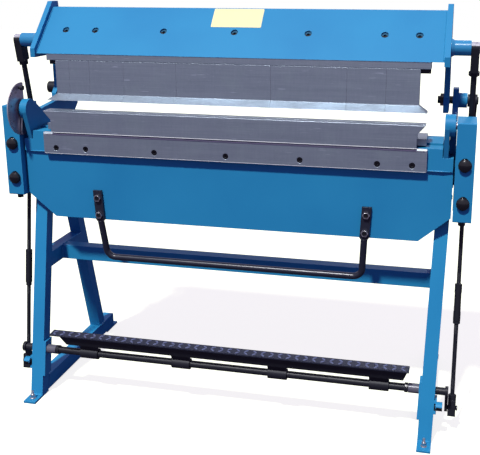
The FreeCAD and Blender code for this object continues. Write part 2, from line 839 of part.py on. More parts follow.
def make_lever():
    """Cranked lever on the pivot shaft, with one pin for the upper rod and one for the lower."""
    hub_start = side_inner_x + side_thick + pivot_boss_length + slip_gap
    x0 = lever_inner_x
    x1 = lever_inner_x + lever_thick
    crook = (crook_y, crook_z)
    body = rod_x(hub_start, x1, pivot_y, pivot_z, lever_hub_radius)
    body = body.fuse(flat_bar((pivot_y, pivot_z), crook, lever_width, x0, x1))
    body = body.fuse(rod_x(x0, x1, crook_y, crook_z, lever_width / 2.0))
    body = body.fuse(flat_bar(crook, (pull_y, pull_z), lever_width, x0, x1))
    for y, z, rod in ((knee_y, knee_z, upper_rod_x), (pull_y, pull_z, lower_rod_x)):
        body = body.fuse(rod_x(x0, x1, y, z, knee_eye_radius))
        body = body.fuse(rod_x(rod - eye_thick / 2.0 - 2.0, x1, y, z, knee_pin_radius))
    return body.cut(rod_x(hub_start, x1, pivot_y, pivot_z, pivot_radius + seat_fit))


def rod_line(foot_point, head_point):
    """Unit vector from one pivot to the next."""
    return (head_point - foot_point).normalize()


def make_upper_rod():
    """Rod end on the stub, lock nut, rod and the eye on the knee pin."""
    x = upper_rod_x
    top = V(x, stub_y, stub_z)
    knee = V(x, knee_y, knee_z)
    down = rod_line(top, knee)
    half = rod_end_width / 2.0
    across = V(0, -down.z, down.y) * (upper_end_depth / 2.0)
    end = top + down * upper_end_length
    block = prism_x([(p.y, p.z) for p in (top + across, end + across, end - across, top - across)],
                    x - half, x + half)
    crown = rod_x(x - half, x + half, stub_y, stub_z, upper_end_depth / 2.0)
    nut = hexagon(end, down, 24.0, 11.0)
    stem = rod_between(end, knee, upper_rod_radius)
    eye = rod_x(x - eye_thick / 2.0, x + eye_thick / 2.0, knee_y, knee_z, knee_eye_radius)
    body = block.fuse(crown).fuse(nut).fuse(stem).fuse(eye)
    body = body.cut(rod_x(x - half, x + half, stub_y, stub_z, stub_pin_radius + running_fit))
    knee_hole = rod_x(x - tube, x + tube, knee_y, knee_z, knee_pin_radius + running_fit)
    flats = 20.0
    waste = box(x - tube, x - eye_thick / 2.0, knee_y - flats, knee_y + flats, knee_z - flats,
                knee_z + flats)
    waste = waste.fuse(box(x + eye_thick / 2.0, x + tube, knee_y - flats, knee_y + flats,
                           knee_z - flats, knee_z + flats))
    return body.cut(knee_hole).cut(waste)


def crank_pin_place():
    """Crank pin at rest: the rod is straight through the shaft when the beam is shut."""
    shut_y, shut_z = turned(pull_y, pull_z, pivot_y, pivot_z, closing_angle)
    rod_length = math.hypot(shut_y - shaft_y, shut_z - shaft_z) + crank_radius
    return meeting_point(shaft_y, shaft_z, crank_radius, pull_y, pull_z, rod_length)


def lower_rod_frame():
    y, z = crank_pin_place()
    foot_point = V(lower_rod_x, y, z)
    pull = V(lower_rod_x, pull_y, pull_z)
    return foot_point, pull, rod_line(foot_point, pull)


def make_lower_rod():
    """Rod end on the crank pin, lock nuts, the two rods and the eye on the lever's front pin."""
    foot_point, pull, up = lower_rod_frame()
    half = rod_end_width / 2.0
    across = V(0, up.z, -up.y) * (lower_end_depth / 2.0)
    low = foot_point - up * lower_end_below
    high = foot_point + up * (lower_end_length - lower_end_below)
    block = prism_x([(p.y, p.z) for p in (low + across, high + across, high - across,
                                          low - across)],
                    lower_rod_x - half, lower_rod_x + half)
    nut = hexagon(high, up, 18.0, 14.0)
    low_end, high_end = turnbuckle_ends()
    lower = rod_between(high, low_end, lower_rod_radius)
    upper = rod_between(high_end, pull, lower_rod_radius)
    lock = hexagon(low_end - up * 9.0, up, 16.0, 9.0)
    eye = rod_x(lower_rod_x - eye_thick / 2.0, lower_rod_x + eye_thick / 2.0, pull_y, pull_z,
                knee_eye_radius)
    inner_screw = rod_between(low_end, low_end + up * 22.0, lower_rod_radius)
    upper_screw = rod_between(high_end - up * 22.0, high_end, lower_rod_radius)
    bottom = block.fuse(nut).fuse(lower).fuse(lock).fuse(inner_screw)
    top = upper.fuse(upper_screw).fuse(eye)
    pin_hole = rod_x(lower_rod_x - half, lower_rod_x + half, foot_point.y, foot_point.z,
                     crank_pin_radius + running_fit)
    pull_hole = rod_x(lower_rod_x - half, lower_rod_x + half, pull_y, pull_z,
                      knee_pin_radius + open_pivot_gap)
    return [bottom.cut(pin_hole), top.cut(pull_hole)]


def turnbuckle_ends():
    foot_point, pull, up = lower_rod_frame()
    low = foot_point + up * ((turnbuckle_low_z - foot_point.z) / up.z)
    high = foot_point + up * ((turnbuckle_high_z - foot_point.z) / up.z)
    return low, high


def make_turnbuckle():
    """Turnbuckle sleeve with an open window, threaded on both rod ends."""
    foot_point, pull, up = lower_rod_frame()
    low, high = turnbuckle_ends()
    body = rod_between(low, high, turnbuckle_radius)
    body = body.cut(rod_between(low, high, lower_rod_radius + seat_fit))
    middle = (low + high) * 0.5
    window_half = 26.0
    window = Part.makeBox(4.0 * turnbuckle_radius, 7.0, 2.0 * window_half,
                          V(-2.0 * turnbuckle_radius, -3.5, -window_half))
    window.Placement = FreeCAD.Placement(middle, FreeCAD.Rotation(V(0, 0, 1), up))
    return body.cut(window)


def make_leaf_beam():
    """Solid bar of the leaf with a rebate for the rail's tongue and stepped ends."""
    bar = box(-leaf_half, leaf_half, leaf_front_y, leaf_back_y, leaf_bottom_z, leaf_top_z)
    ends = box(-leaf_step_half, leaf_step_half, leaf_front_y, leaf_back_y, leaf_bottom_z,
               leaf_step_z)
    rebate = box(-blade_half - slip_gap, blade_half + slip_gap, leaf_front_y,
                 leaf_front_y + tongue_thick, tongue_bottom_z - slip_gap, leaf_top_z)
    bar = bar.fuse(ends).cut(rebate).removeSplitter()
    for x, z in leaf_screw_places():
        bar = bar.cut(Part.makeCylinder(screw_shank_radius + seat_fit, screw_reach,
                                        V(x, leaf_front_y, z), V(0, 1, 0)))
    return bar


def leaf_screw_places():
    return [(side * x, screw_z) for x in screw_x for side in ((1,) if x == 0.0 else (-1, 1))]


def make_leaf_rail():
    """Bending rail: its top is level with the bed jaw, its tongue is held by the strip."""
    head = prism_y(flared_outline(leaf_top_z, jaw_top_z - leaf_air), rail_front_y, rail_back_y)
    tongue_back = leaf_front_y + tongue_thick - seat_fit
    tongue = box(-blade_half, blade_half, leaf_front_y, tongue_back, tongue_bottom_z,
                 rail_foot_top)
    rail = head.fuse(tongue).removeSplitter()
    for x, z in leaf_screw_places():
        rail = rail.cut(Part.makeCylinder(screw_shank_radius + seat_fit, tongue_thick,
                                          V(x, leaf_front_y, z), V(0, 1, 0)))
    return rail


def make_clamp_strip():
    strip = box(-strip_half, strip_half, leaf_front_y - strip_thick, leaf_front_y,
                strip_bottom_z, strip_top_z)
    strip = rounded_along_x(strip, 1.2, lambda y, z: y < leaf_front_y - 1.0)
    for x, z in leaf_screw_places():
        strip = strip.cut(Part.makeCylinder(screw_head_radius + 0.5, strip_thick - 2.0,
                                            V(x, leaf_front_y - strip_thick, z), V(0, 1, 0)))
        strip = strip.cut(Part.makeCylinder(screw_shank_radius + seat_fit, strip_thick,
                                            V(x, leaf_front_y - strip_thick, z), V(0, 1, 0)))
    return strip


def make_leaf_screws():
    screws = []
    face = leaf_front_y - strip_thick
    for x, z in leaf_screw_places():
        head = Part.makeCylinder(screw_head_radius, strip_thick - 4.0, V(x, face + 2.0, z), V(0, 1, 0))
        socket = hexagon(V(x, face + 2.0, z), V(0, 1, 0), socket_across, socket_depth)
        shank = Part.makeCylinder(screw_shank_radius, screw_reach, V(x, face + strip_thick - 2.0, z),
                                  V(0, 1, 0))
        screws.append(head.cut(socket).fuse(shank))
    return screws


def make_apron():
    outline = [(-apron_half, leaf_bottom_z), (apron_half, leaf_bottom_z),
               (apron_half, apron_corner_z), (apron_bottom_half, apron_bottom_z),
               (-apron_bottom_half, apron_bottom_z), (-apron_half, apron_corner_z)]
    apron = prism_y(outline, apron_front_y, apron_front_y + apron_thick)
    for side in (-1.0, 1.0):
        for z in handle_bolt_z:
            apron = apron.cut(Part.makeCylinder(5.0 + running_fit, apron_thick,
                                                V(side * strap_centre(z), apron_front_y, z),
                                                V(0, 1, 0)))
    return apron


def make_cheek():
    """Gusset that carries the leaf on its hinge pin."""
    x0 = cheek_inner_x
    x1 = cheek_inner_x + cheek_thick
    span = math.hypot(cheek_tail_y - hinge_y, hinge_z - cheek_tail_z)
    toward = math.atan2(hinge_z - cheek_tail_z, hinge_y - cheek_tail_y)
    swing = math.asin(cheek_boss_radius / span)
    reach = math.sqrt(span ** 2 - cheek_boss_radius ** 2)
    touch_y = cheek_tail_y + reach * math.cos(toward - swing)
    touch_z = cheek_tail_z + reach * math.sin(toward - swing)
    outline = [(touch_y, touch_z), (cheek_tail_y, cheek_tail_z), (cheek_tail_y, cheek_tail_z - 14.0),
               (leaf_back_y, leaf_step_z), (leaf_front_y, leaf_step_z),
               (hinge_y - cheek_boss_radius, hinge_z - 6.0), (hinge_y - cheek_boss_radius, hinge_z),
               (hinge_y, hinge_z)]
    plate = prism_x(outline, x0, x1)
    boss = rod_x(x0, cheek_boss_end_x, hinge_y, hinge_z, cheek_boss_radius)
    return plate.fuse(boss).cut(rod_x(x0 + cheek_skin, cheek_boss_end_x, hinge_y, hinge_z,
                                      hinge_pin_radius + seat_fit))


def make_left_cheek():
    """Left cheek with a spigot for the pointer."""
    cheek = make_cheek()
    ring = rod_x(pointer_ring_x, cheek_boss_end_x, hinge_y, hinge_z, cheek_boss_radius)
    ring = ring.cut(rod_x(pointer_ring_x, cheek_boss_end_x, hinge_y, hinge_z, pointer_spigot))
    return mirrored(cheek.cut(ring))


def make_pointer():
    """Pointer that turns with the leaf over the protractor."""
    x0 = pointer_ring_x
    x1 = pointer_ring_x + pointer_thick
    ring = rod_x(x0, x1, hinge_y, hinge_z, 22.0)
    finger = prism_x([(18.0, -5.0), (pointer_reach - 9.0, -4.0), (pointer_reach, 0.0),
                      (pointer_reach - 9.0, 4.0), (18.0, 5.0)], x0, x1)
    finger.rotate(V(0, 0, 0), V(1, 0, 0), pointer_angle)
    finger.translate(V(0, hinge_y, hinge_z))
    bore = rod_x(x0, x1, hinge_y, hinge_z, pointer_spigot + seat_fit)
    return mirrored(ring.fuse(finger).cut(bore))


def make_hinge_pin():
    return rod_x(cheek_inner_x + cheek_skin, hinge_pin_end_x, hinge_y, hinge_z, hinge_pin_radius)


def strap_centre(z):
    share = (strap_top_z - z) / (strap_top_z - strap_bottom_z)
    return handle_x + strap_lean * (1.0 - share)


def make_handle():
    """U-shaped lifting handle with flat straps bolted to the apron."""
    strap_y0 = apron_front_y - strap_thick
    strap_y = apron_front_y - strap_thick / 2.0
    top = V(handle_x, strap_y, strap_bottom_z + 8.0)
    corner = V(handle_foot_x, handle_y, handle_z)
    path = rounded_path([V(-top.x, top.y, top.z), V(-corner.x, corner.y, corner.z), corner, top],
                        handle_bend)
    handle = pipe(path, handle_rod)
    for side in (-1.0, 1.0):
        half = strap_width / 2.0
        outline = [(side * strap_centre(strap_top_z) - half, strap_top_z),
                   (side * strap_centre(strap_top_z) + half, strap_top_z),
                   (side * strap_centre(strap_bottom_z) + half, strap_bottom_z + 10.0),
                   (side * strap_centre(strap_bottom_z) + half - 8.0, strap_bottom_z),
                   (side * strap_centre(strap_bottom_z) - half + 8.0, strap_bottom_z),
                   (side * strap_centre(strap_bottom_z) - half, strap_bottom_z + 10.0)]
        strap = prism_y(outline, strap_y0, apron_front_y)
        for z in handle_bolt_z:
            strap = strap.cut(Part.makeCylinder(5.0 + running_fit, strap_thick,
                                                V(side * strap_centre(z), strap_y0, z),
                                                V(0, 1, 0)))
        handle = handle.fuse(strap)
    apron_keep_out = box(-apron_half, apron_half, apron_front_y, apron_front_y + apron_thick,
                         apron_bottom_z, leaf_bottom_z)
    return handle.cut(apron_keep_out)


def make_handle_bolts():
    bolts = []
    y0 = apron_front_y - strap_thick
    for side in (-1.0, 1.0):
        for z in handle_bolt_z:
            x = side * strap_centre(z)
            head = hexagon(V(x, y0 - 7.0, z), V(0, 1, 0), 2.0 * handle_bolt_head, 7.0)
            shank = Part.makeCylinder(5.0, strap_thick + apron_thick, V(x, y0, z), V(0, 1, 0))
            nut = hexagon(V(x, apron_front_y + apron_thick, z), V(0, 1, 0), 2.0 * handle_bolt_head,
                          8.0)
            bolts.append(head.fuse(shank).fuse(nut))
    return bolts


def make_pedal_shaft():
    end = crank_inner_x + crank_thick
    shaft = rod_x(-end, end, shaft_y, shaft_z, shaft_radius)
    collar_x = bearing_inner_x() - bush_length - slip_gap
    collar = rod_x(collar_x - collar_length, collar_x, shaft_y, shaft_z, bush_radius)
    return shaft.fuse(collar).fuse(mirrored(collar))


def pedal_point(along, up):
    """A point of the pedal from its shaft: along towards the operator, up along the arms."""
    tilt = math.radians(tread_tilt)
    y = shaft_y - up * math.sin(tilt) - along * math.cos(tilt)
    z = shaft_z + up * math.cos(tilt) - along * math.sin(tilt)
    return y, z


def make_tread():
    """Pressed tread: a plate with a web below it, its ends cut back towards the web."""
    front = tread_front
    back = front - tread_depth
    top = tread_height
    t = tread_thick
    web_at = front - tread_web_back
    lip = tread_lip
    outline = [pedal_point(front, top), pedal_point(back, top), pedal_point(back, top - lip),
               pedal_point(back + t, top - lip), pedal_point(back + t, top - t),
               pedal_point(web_at - t, top - t), pedal_point(web_at - t, top - tread_web),
               pedal_point(web_at, top - tread_web), pedal_point(web_at, top - t),
               pedal_point(front, top - t)]
    tread = prism_x(outline, -tread_half, tread_half)
    low = shaft_z
    high = pedal_point(0.0, top - lip)[1] - t
    inner = tread_half - tread_end_slant
    for side in (-1.0, 1.0):
        cut = [(side * tread_half, high), (side * inner, low + tread_height / 3.0),
               (side * inner, low), (side * (tread_half + t), low), (side * (tread_half + t), high)]
        tread = tread.cut(prism_y(cut, shaft_y - 2.0 * tread_height, shaft_y + tread_height))
    return tread


def make_pedal_arms():
    """Split clamps on the shaft with the arms that carry the tread."""
    arms = []
    top = tread_height - tread_thick
    web_back = tread_front - tread_web_back - tread_thick
    arm_back = web_back - arm_plate
    for place in (-1.5, -0.5, 0.5, 1.5):
        x0 = pedal_arm_shift + place * pedal_arm_pitch - pedal_arm_width / 2.0
        x1 = x0 + pedal_arm_width
        ring = rod_x(x0, x1, shaft_y, shaft_z, clamp_radius)
        arm = prism_x([pedal_point(web_back, 0.0), pedal_point(web_back, top),
                       pedal_point(arm_back, top), pedal_point(arm_back, 0.0)], x0, x1)
        bore = rod_x(x0, x1, shaft_y, shaft_z, shaft_radius + seat_fit)
        slit_y0, slit_z0 = pedal_point(0.0, -clamp_radius)
        slit = box(x0, x1, slit_y0 - clamp_slit / 2.0, slit_y0 + clamp_slit / 2.0,
                   slit_z0 - clamp_slit, shaft_z)
        arms.append(ring.fuse(arm).cut(bore).cut(slit))
    return arms


def make_crank():
    """Crank at the end of the pedal shaft with the pin for the lower rod."""
    pin_y, pin_z = crank_pin_place()
    x0 = crank_inner_x
    x1 = crank_inner_x + crank_thick
    pin_end = lower_rod_x + rod_end_width / 2.0 + 5.0
    body = flat_bar((shaft_y, shaft_z), (pin_y, pin_z), crank_width, x0, x1)
    body = body.fuse(rod_x(x0, x1, shaft_y, shaft_z, crank_hub_radius))
    body = body.fuse(rod_x(x0, x1, pin_y, pin_z, crank_eye_radius))
    body = body.fuse(rod_x(x0, pin_end, pin_y, pin_z, crank_pin_radius))
    return body.cut(rod_x(x0, x1, shaft_y, shaft_z, shaft_radius + seat_fit))


os.makedirs("parts", exist_ok=True)


def save(name, shapes):
    """Write one node, with the footprint centred on the origin."""
    solids = []
    for shape in shapes if isinstance(shapes, list) else [shapes]:
        moved = shape.copy()
        moved.translate(V(0, -origin_y, 0))
        solids += moved.Solids
    node = solids[0] if len(solids) == 1 else Part.makeCompound(solids)
    node.exportStep("parts/" + name + ".step")


def save_pair(name, right):
    save(name + "_right", right)
    save(name + "_left", mirrored(right))


# Leg frames
front_envelope, front_leg = make_front_leg()
rear_envelope, rear_leg = make_rear_leg()
side_rail = make_side_rail(front_envelope, rear_envelope)
save_pair("front_leg", front_leg)
save_pair("rear_leg", rear_leg)
save_pair("bottom_rail", make_bottom_rail(front_envelope))
save("side_rails", both(side_rail))
save("top_rails", both(make_top_rail()))
save("cross_rail", make_cross_rail(side_rail))

# Bed, side plates and hinge blocks
save_pair("side_plate", make_side_plate())
save("bed_beam", make_bed_beam())
save("lower_jaw", make_lower_jaw())
save_pair("hinge_block", make_hinge_block())
save("block_bolts", [bolt for z in block_bolt_z for bolt in both(make_block_bolt(z))])
save("block_adjusting_screws", both(make_block_screw()))
save("protractor", make_protractor())
save("angle_stop_screw", make_stop_screw())
save("pedal_bearings", both(make_pedal_bearing()))
save("pedal_bushes", both(make_pedal_bush()))
save("stop_lugs", both(make_stop_lug()))

# Clamping beam
end_plate = make_end_plate()
save("beam_shell", make_beam_shell())
save("backing_bar", make_backing_bar())
save("beam_screws", make_beam_screws())
save_pair("beam_end_plate", end_plate)
save("stub_shafts", both(make_stub_shaft()))
save("finger_holder", make_holder_bar())
save("finger_clamp_bar", make_clamp_bar())
for number, (start, end) in enumerate(finger_spans(), start=1):
    save("finger_" + str(number), make_finger(start, end))
save("pivot_shafts", both(make_pivot_shaft()))
save("knee_levers", both(make_lever()))
save("upper_rods", both(make_upper_rod()))

# Bending leaf
save("leaf_beam", make_leaf_beam())
save("leaf_rail", make_leaf_rail())
save("leaf_clamp_strip", make_clamp_strip())
save("leaf_screws", make_leaf_screws())
save("apron", make_apron())
save("leaf_cheek_right", make_cheek())
save("leaf_cheek_left", make_left_cheek())
save("leaf_hinge_pins", both(make_hinge_pin()))
save("angle_pointer", make_pointer())
save("leaf_handle", make_handle())
save("handle_bolts", make_handle_bolts())

# Pedal and lower rods
save("pedal_shaft", make_pedal_shaft())
save("pedal_tread", make_tread())
save("pedal_arms", make_pedal_arms())
save("pedal_cranks", both(make_crank()))
lower_rod = Part.makeCompound(make_lower_rod())
save_pair("lower_rod", lower_rod)
save_pair("turnbuckle", make_turnbuckle())
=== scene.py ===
import json
import math

import bmesh
import bpy
from bpy.props import FloatProperty, FloatVectorProperty, PointerProperty
from mathutils import Matrix, Vector


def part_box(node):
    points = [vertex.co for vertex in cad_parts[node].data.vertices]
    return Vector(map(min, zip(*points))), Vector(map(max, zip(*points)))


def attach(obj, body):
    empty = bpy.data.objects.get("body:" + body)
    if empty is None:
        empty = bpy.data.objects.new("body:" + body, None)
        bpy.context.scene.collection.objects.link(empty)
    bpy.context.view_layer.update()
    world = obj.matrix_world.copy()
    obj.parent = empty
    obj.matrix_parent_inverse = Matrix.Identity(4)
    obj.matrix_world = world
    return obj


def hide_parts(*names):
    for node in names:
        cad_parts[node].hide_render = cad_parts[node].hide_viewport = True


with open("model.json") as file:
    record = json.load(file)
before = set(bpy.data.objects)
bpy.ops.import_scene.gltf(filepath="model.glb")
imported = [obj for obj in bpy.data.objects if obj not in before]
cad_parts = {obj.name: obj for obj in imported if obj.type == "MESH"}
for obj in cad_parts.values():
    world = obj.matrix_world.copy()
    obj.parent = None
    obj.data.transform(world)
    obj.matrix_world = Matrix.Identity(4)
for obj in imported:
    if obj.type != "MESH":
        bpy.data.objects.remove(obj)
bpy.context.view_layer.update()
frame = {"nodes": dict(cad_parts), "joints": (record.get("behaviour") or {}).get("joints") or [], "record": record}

bl_info = {
    "name": "Sheet Folder Looks",
    "version": (1, 0, 0),
    "blender": (4, 5, 0),
    "location": "View3D > Sidebar > Folder",
    "description": "Paint, steel, welds, dial marks and fittings for a pedal-clamped sheet folder",
    "category": "Object",
}

X_AXIS = Vector((1, 0, 0))
Y_AXIS = Vector((0, 1, 0))
Z_AXIS = Vector((0, 0, 1))
SIDES = ((1.0, "right"), (-1.0, "left"))
WHITE = (1.0, 1.0, 1.0)

# Lengths are in metres, and angles in radians where no comment says degrees.
MERGE = 0.00001
CAD_MERGE = 0.00002
PROUD = 0.0001  # a thin piece in front of the face that carries it
SHARP_ANGLE = 0.6

LUG_RING = 0.028  # outer diameter
# Soft borders between two finishes: where each starts and where it ends
LUG_EYE = (0.0098, 0.0101)  # radius, in the gap between the bolt end and the ring
LUG_ARCH = (0.0055, 0.0062)  # height above the ring's centre
LUG_OUTER = (0.0163, 0.0158)  # from the ring's outer end, just inside the lug's plate
POCKET_SHADE = (-0.0004, 0.0012)  # height above the middle of the screw's face
ROD_TOP_HIGHLIGHT = (0.011, 0.008)  # depth of the rod end's top that is painted lighter as a highlight
# Vertices this near to the outermost one make the face
SCREW_FACE = 0.0006
HEAD_FACE = 0.0005
BEAM_TOP = 0.0002
LEG_TOP = 0.0005

PLATE_THICKNESS = 0.0005
PLATE_CORNER = 0.003

DIAL_ZERO = -105.0  # degrees, round the hinge pin
DIAL_STEP = 5.0  # degrees
DIAL_STEPS = 28
DIAL_NUMBERS = (0, 45, 90, 135)
STEPS_TO_LONG_TICK = 3
SHORT_TICK = 0.6  # share of a long one
TICK_INSET = 0.002
TICK_DEPTH = 0.0003
TICK_WIDTH = 0.0007
NUMBER_INSET = 0.0175
NUMBER_DEPTH = 0.00015

WASHER = 2.35  # radius, in radii of the bolt
WASHER_THICKNESS = 0.0022
NUT = 1.72  # radius over its corners, in radii of the bolt
NUT_HEIGHT = 0.0095
NUT_EDGE = 0.0007
BOLT_START = 0.0005
THREAD_ROOT = 0.9  # share of the thread's radius

ROD_THREAD_RADIUS = 0.0059
# Start and length of each thread, along the rod
EYE_THREAD = (0.052, 0.03)  # from the crank pin
FOOT_THREAD = (-0.034, 0.026)  # from the turnbuckle's lower end
HEAD_THREAD = (-0.001, 0.03)  # from the turnbuckle's upper end

TUBE = 0.036
LEG_SEAM = 0.0366  # length of the bead at the foot of a rear leg
FOOT_SEAM = (0.043, 0.0062)  # behind the front end of the foot plate, above the floor
CHEEK_THICKNESS = 0.012
SEAM_INSET = 0.002
RAIL_INSET = 0.001
APRON_SEAM = 0.0005  # behind the apron's front face
CHEEK_SEAM = 0.003
FRONT_SEAM = (0.006, 0.046)  # from the front end of the top rails
REAR_SEAM = (0.044, 0.006)  # from their rear end
BEAM_SEAM = 0.0008  # from the beam's ends
BEAM_TOP_INSET = 0.001
BEAM_BACK_INSET = 0.004
ROLLED_PLACE = (0.0002, 0.0006)  # in front of and above the leaf's lower edge
ROLLED_RADIUS = 0.0016
ROLLED_RIPPLE = 0.05

RING_HALF = 0.0006  # half the thickness of a snap ring
STUB_RING = (0.0108, 0.0135, 0.0138)  # radii of its bore, its rim and the middle of its rim
CRANK_RING = (0.0058, 0.0082, 0.0084)
STUB_GROOVE = 0.0012  # from the outer end to the middle of the ring
CRANK_GROOVE = 0.0016
# Radius as a share of the bolt head's, height in metres
SOCKET = ((0.0, 0.0), (0.7, 0.0), (0.66, 0.0012), (0.5, 0.0004), (0.0, 0.0002))
COLLAR_RADIUS = 0.0122
COLLAR_MIDDLE = 0.0055  # from the inner end of the bush
SET_SCREW_SLANT = Vector((0.0, -0.7071, 0.7071))
SET_SCREW = (0.0034, 0.0016)  # radius and height
SET_SCREW_HEX = (0.0016, 0.0004)

CHAMFER_RUN = 0.6  # share of the chamfer's height
LAND = 0.0016
LOWER_LAND = 0.0008
LAND_DEPTH = 0.0005
LAND_SHORTER = 0.003  # than the face that carries it
LAND_EDGE = 0.00012
LAND_ON_RAIL = 0.0008  # above the strip
LAND_BELOW_CHAMFER = 0.0017  # down to its lower edge
LAND_AT_FOOT = 0.0014

FOLD_EDGE = 0.0008
TREAD_BACK = (0.0005, 0.0002)  # inside the pedal bar's rear upper edge
TREAD_FRONT = 0.0002
LIP = 0.007  # height of the bar's folded rear lip
WEB_INSET = 0.0045
WEB_FOOT = 0.0159  # behind the front of the bar
WEB_TOP_ENDS = (0.026, 0.004)  # how much shorter than the bar, at each end
WEB_LOW_ENDS = (0.043, 0.015)
RIB_ROW = 0.0062  # from the bar's middle to each row
RIB_ANGLE = math.radians(42.0)
RIB_HALF_LENGTH = 0.44  # share of the pitch
RIB_HALF_WIDTH = 0.0042
RIB_HALF_HEIGHT = 0.0012
RIB_CROWN = 0.45  # share of the rib that its top keeps

FLOOR_HALF = 14.0
FLOOR_DROP = 0.0002
KEY_DIRECTION = (-0.16, -0.57, 0.946)
REAR_DIRECTION = (0.1, 0.8, 0.6)
CAMERA_PLACE = (0.5972, -2.1426, 1.1863)
CAMERA_DOWN = 14.45  # degrees
CAMERA_PAN = 12.77  # degrees
CAMERA_SHIFT = (-0.0812, -0.0955)
CAMERA_REACH = 60.0
SENSOR = 36.0  # millimetres
ROOM_IN_GLOSS = 0.5  # share of the white room that reflections show


def length(label, text, default):
    return FloatProperty(name=label, description=text, default=default, min=0.0,
                         unit="LENGTH", subtype="DISTANCE")


def tint(label, text, default):
    return FloatVectorProperty(name=label, description=text, default=default, size=3,
                               min=0.0, max=1.0, subtype="COLOR")


def amount(label, text, default, subtype="NONE"):
    return FloatProperty(name=label, description=text, default=default, min=0.0, subtype=subtype)


class FolderColours(bpy.types.PropertyGroup):
    enamel: tint("Enamel", "Blue enamel on the frame, beam and leaf", (0.02, 0.232, 0.42))
    enamel_deep: tint("Enamel, thick", "Blue where the enamel lies thicker", (0.016, 0.204, 0.39))
    steel: tint("Ground steel", "Jaw steel between the grinding marks", (0.21, 0.262, 0.31))
    steel_light: tint("Ground steel, light", "Jaw steel on the grinding marks", (0.385, 0.45, 0.51))
    black: tint("Black steel", "Oiled black rods and fasteners", (0.009, 0.01, 0.014))
    slate: tint("Slate", "Dark powder coat of the handle and the pedal bar", (0.03, 0.036, 0.062))
    # Also the colour of the painted highlight on the black parts' edges.
    worn: tint("Worn black", "Bare steel where the black has rubbed off", (0.12, 0.125, 0.15))
    zinc: tint("Zinc", "Plated bolts, pins and the pointer", (0.62, 0.63, 0.66))
    dial: tint("Dial plate", "Etched plate of the protractor", (0.5, 0.52, 0.55))
    dial_mark: tint("Dial marks", "Graduations and numbers", (0.02, 0.02, 0.024))
    plate: tint("Blank plate", "Pale plate on the beam, left bare", (0.8, 0.72, 0.34))


class FolderSizes(bpy.types.PropertyGroup):
    plate_width: length("Plate width", "Width of the blank plate on the beam", 0.139)
    plate_height: length("Plate height", "Height of the blank plate, up the slope", 0.064)
    plate_gap: length("Plate gap", "From the beam's top edge down to the plate", 0.0015)
    bead: length("Weld bead", "Radius of a weld bead", 0.0032)
    ripple: length("Weld ripple", "Distance between two weld ripples", 0.0055)
    stud: length("Floor bolt", "Radius of a floor bolt", 0.0036)
    stud_height: length("Floor bolt height", "Height of a floor bolt above the floor", 0.031)
    thread: length("Thread pitch", "Pitch of the drawn threads", 0.0018)
    tread_thick: length("Pedal plate", "Thickness of the pedal bar", 0.004)
    tread_fall: length("Pedal fall", "How far the pedal bar falls from back to front", 0.0027)
    rib_pitch: length("Rib pitch", "Distance between the raised ribs of the pedal bar", 0.0235)
    chamfer: length("Strip chamfer", "Height of the chamfer on the leaf's clamp strip", 0.0035)
    tick: length("Long tick", "Length of the dial's long graduations", 0.0085)
    number: length("Number height", "Height of the dial's numbers", 0.008)


class StageSettings(bpy.types.PropertyGroup):
    floor: tint("Floor", "Colour of the floor as the camera sees it", (0.45, 0.5, 0.3))
    floor_bounce: tint("Floor bounce", "Colour of the floor as it lights the folder",
                       (0.1, 0.09, 0.12))
    floor_glow: amount("Floor glow", "Light that the floor adds for the camera", 0.8)
    sky: tint("Room", "Colour of the light from all round", (0.23, 0.13, 0.42))
    key: amount("Key light", "Strength of the soft light above the operator", 4.15)
    rear: amount("Rear light", "Strength of the weak light from behind", 0.4)
    softness: amount("Softness", "Angle that each light fills", 0.07, "ANGLE")
    focal: length("Focal length", "Focal length of the camera on a 36 mm sensor", 0.06039)


class Wire:
    """An output of a shader node, so that shader maths reads as plain arithmetic."""

    def __init__(self, nodes, socket):
        self.nodes = nodes
        self.socket = socket

    def _maths(self, operation, *values):
        return self.nodes.node("ShaderNodeMath", {"operation": operation}, dict(enumerate(values)))

    def __add__(self, other):
        return self._maths("ADD", self, other)

    def __radd__(self, other):
        return self._maths("ADD", other, self)

    def __sub__(self, other):
        return self._maths("SUBTRACT", self, other)

    def __rsub__(self, other):
        return self._maths("SUBTRACT", other, self)

    def __mul__(self, other):
        return self._maths("MULTIPLY", self, other)

    def __rmul__(self, other):
        return self._maths("MULTIPLY", other, self)

    def root(self):
        return self._maths("SQRT", self)

    def between(self, low, high):
        """0 below low, 1 above high, smooth in between."""
        sockets = {"Value": self, "From Min": low, "From Max": high}
        return self.nodes.node("ShaderNodeMapRange", {"interpolation_type": "SMOOTHSTEP"}, sockets)

    def beside(self, name):
        """Another output of the same node."""
        return Wire(self.nodes, self.socket.node.outputs[name])


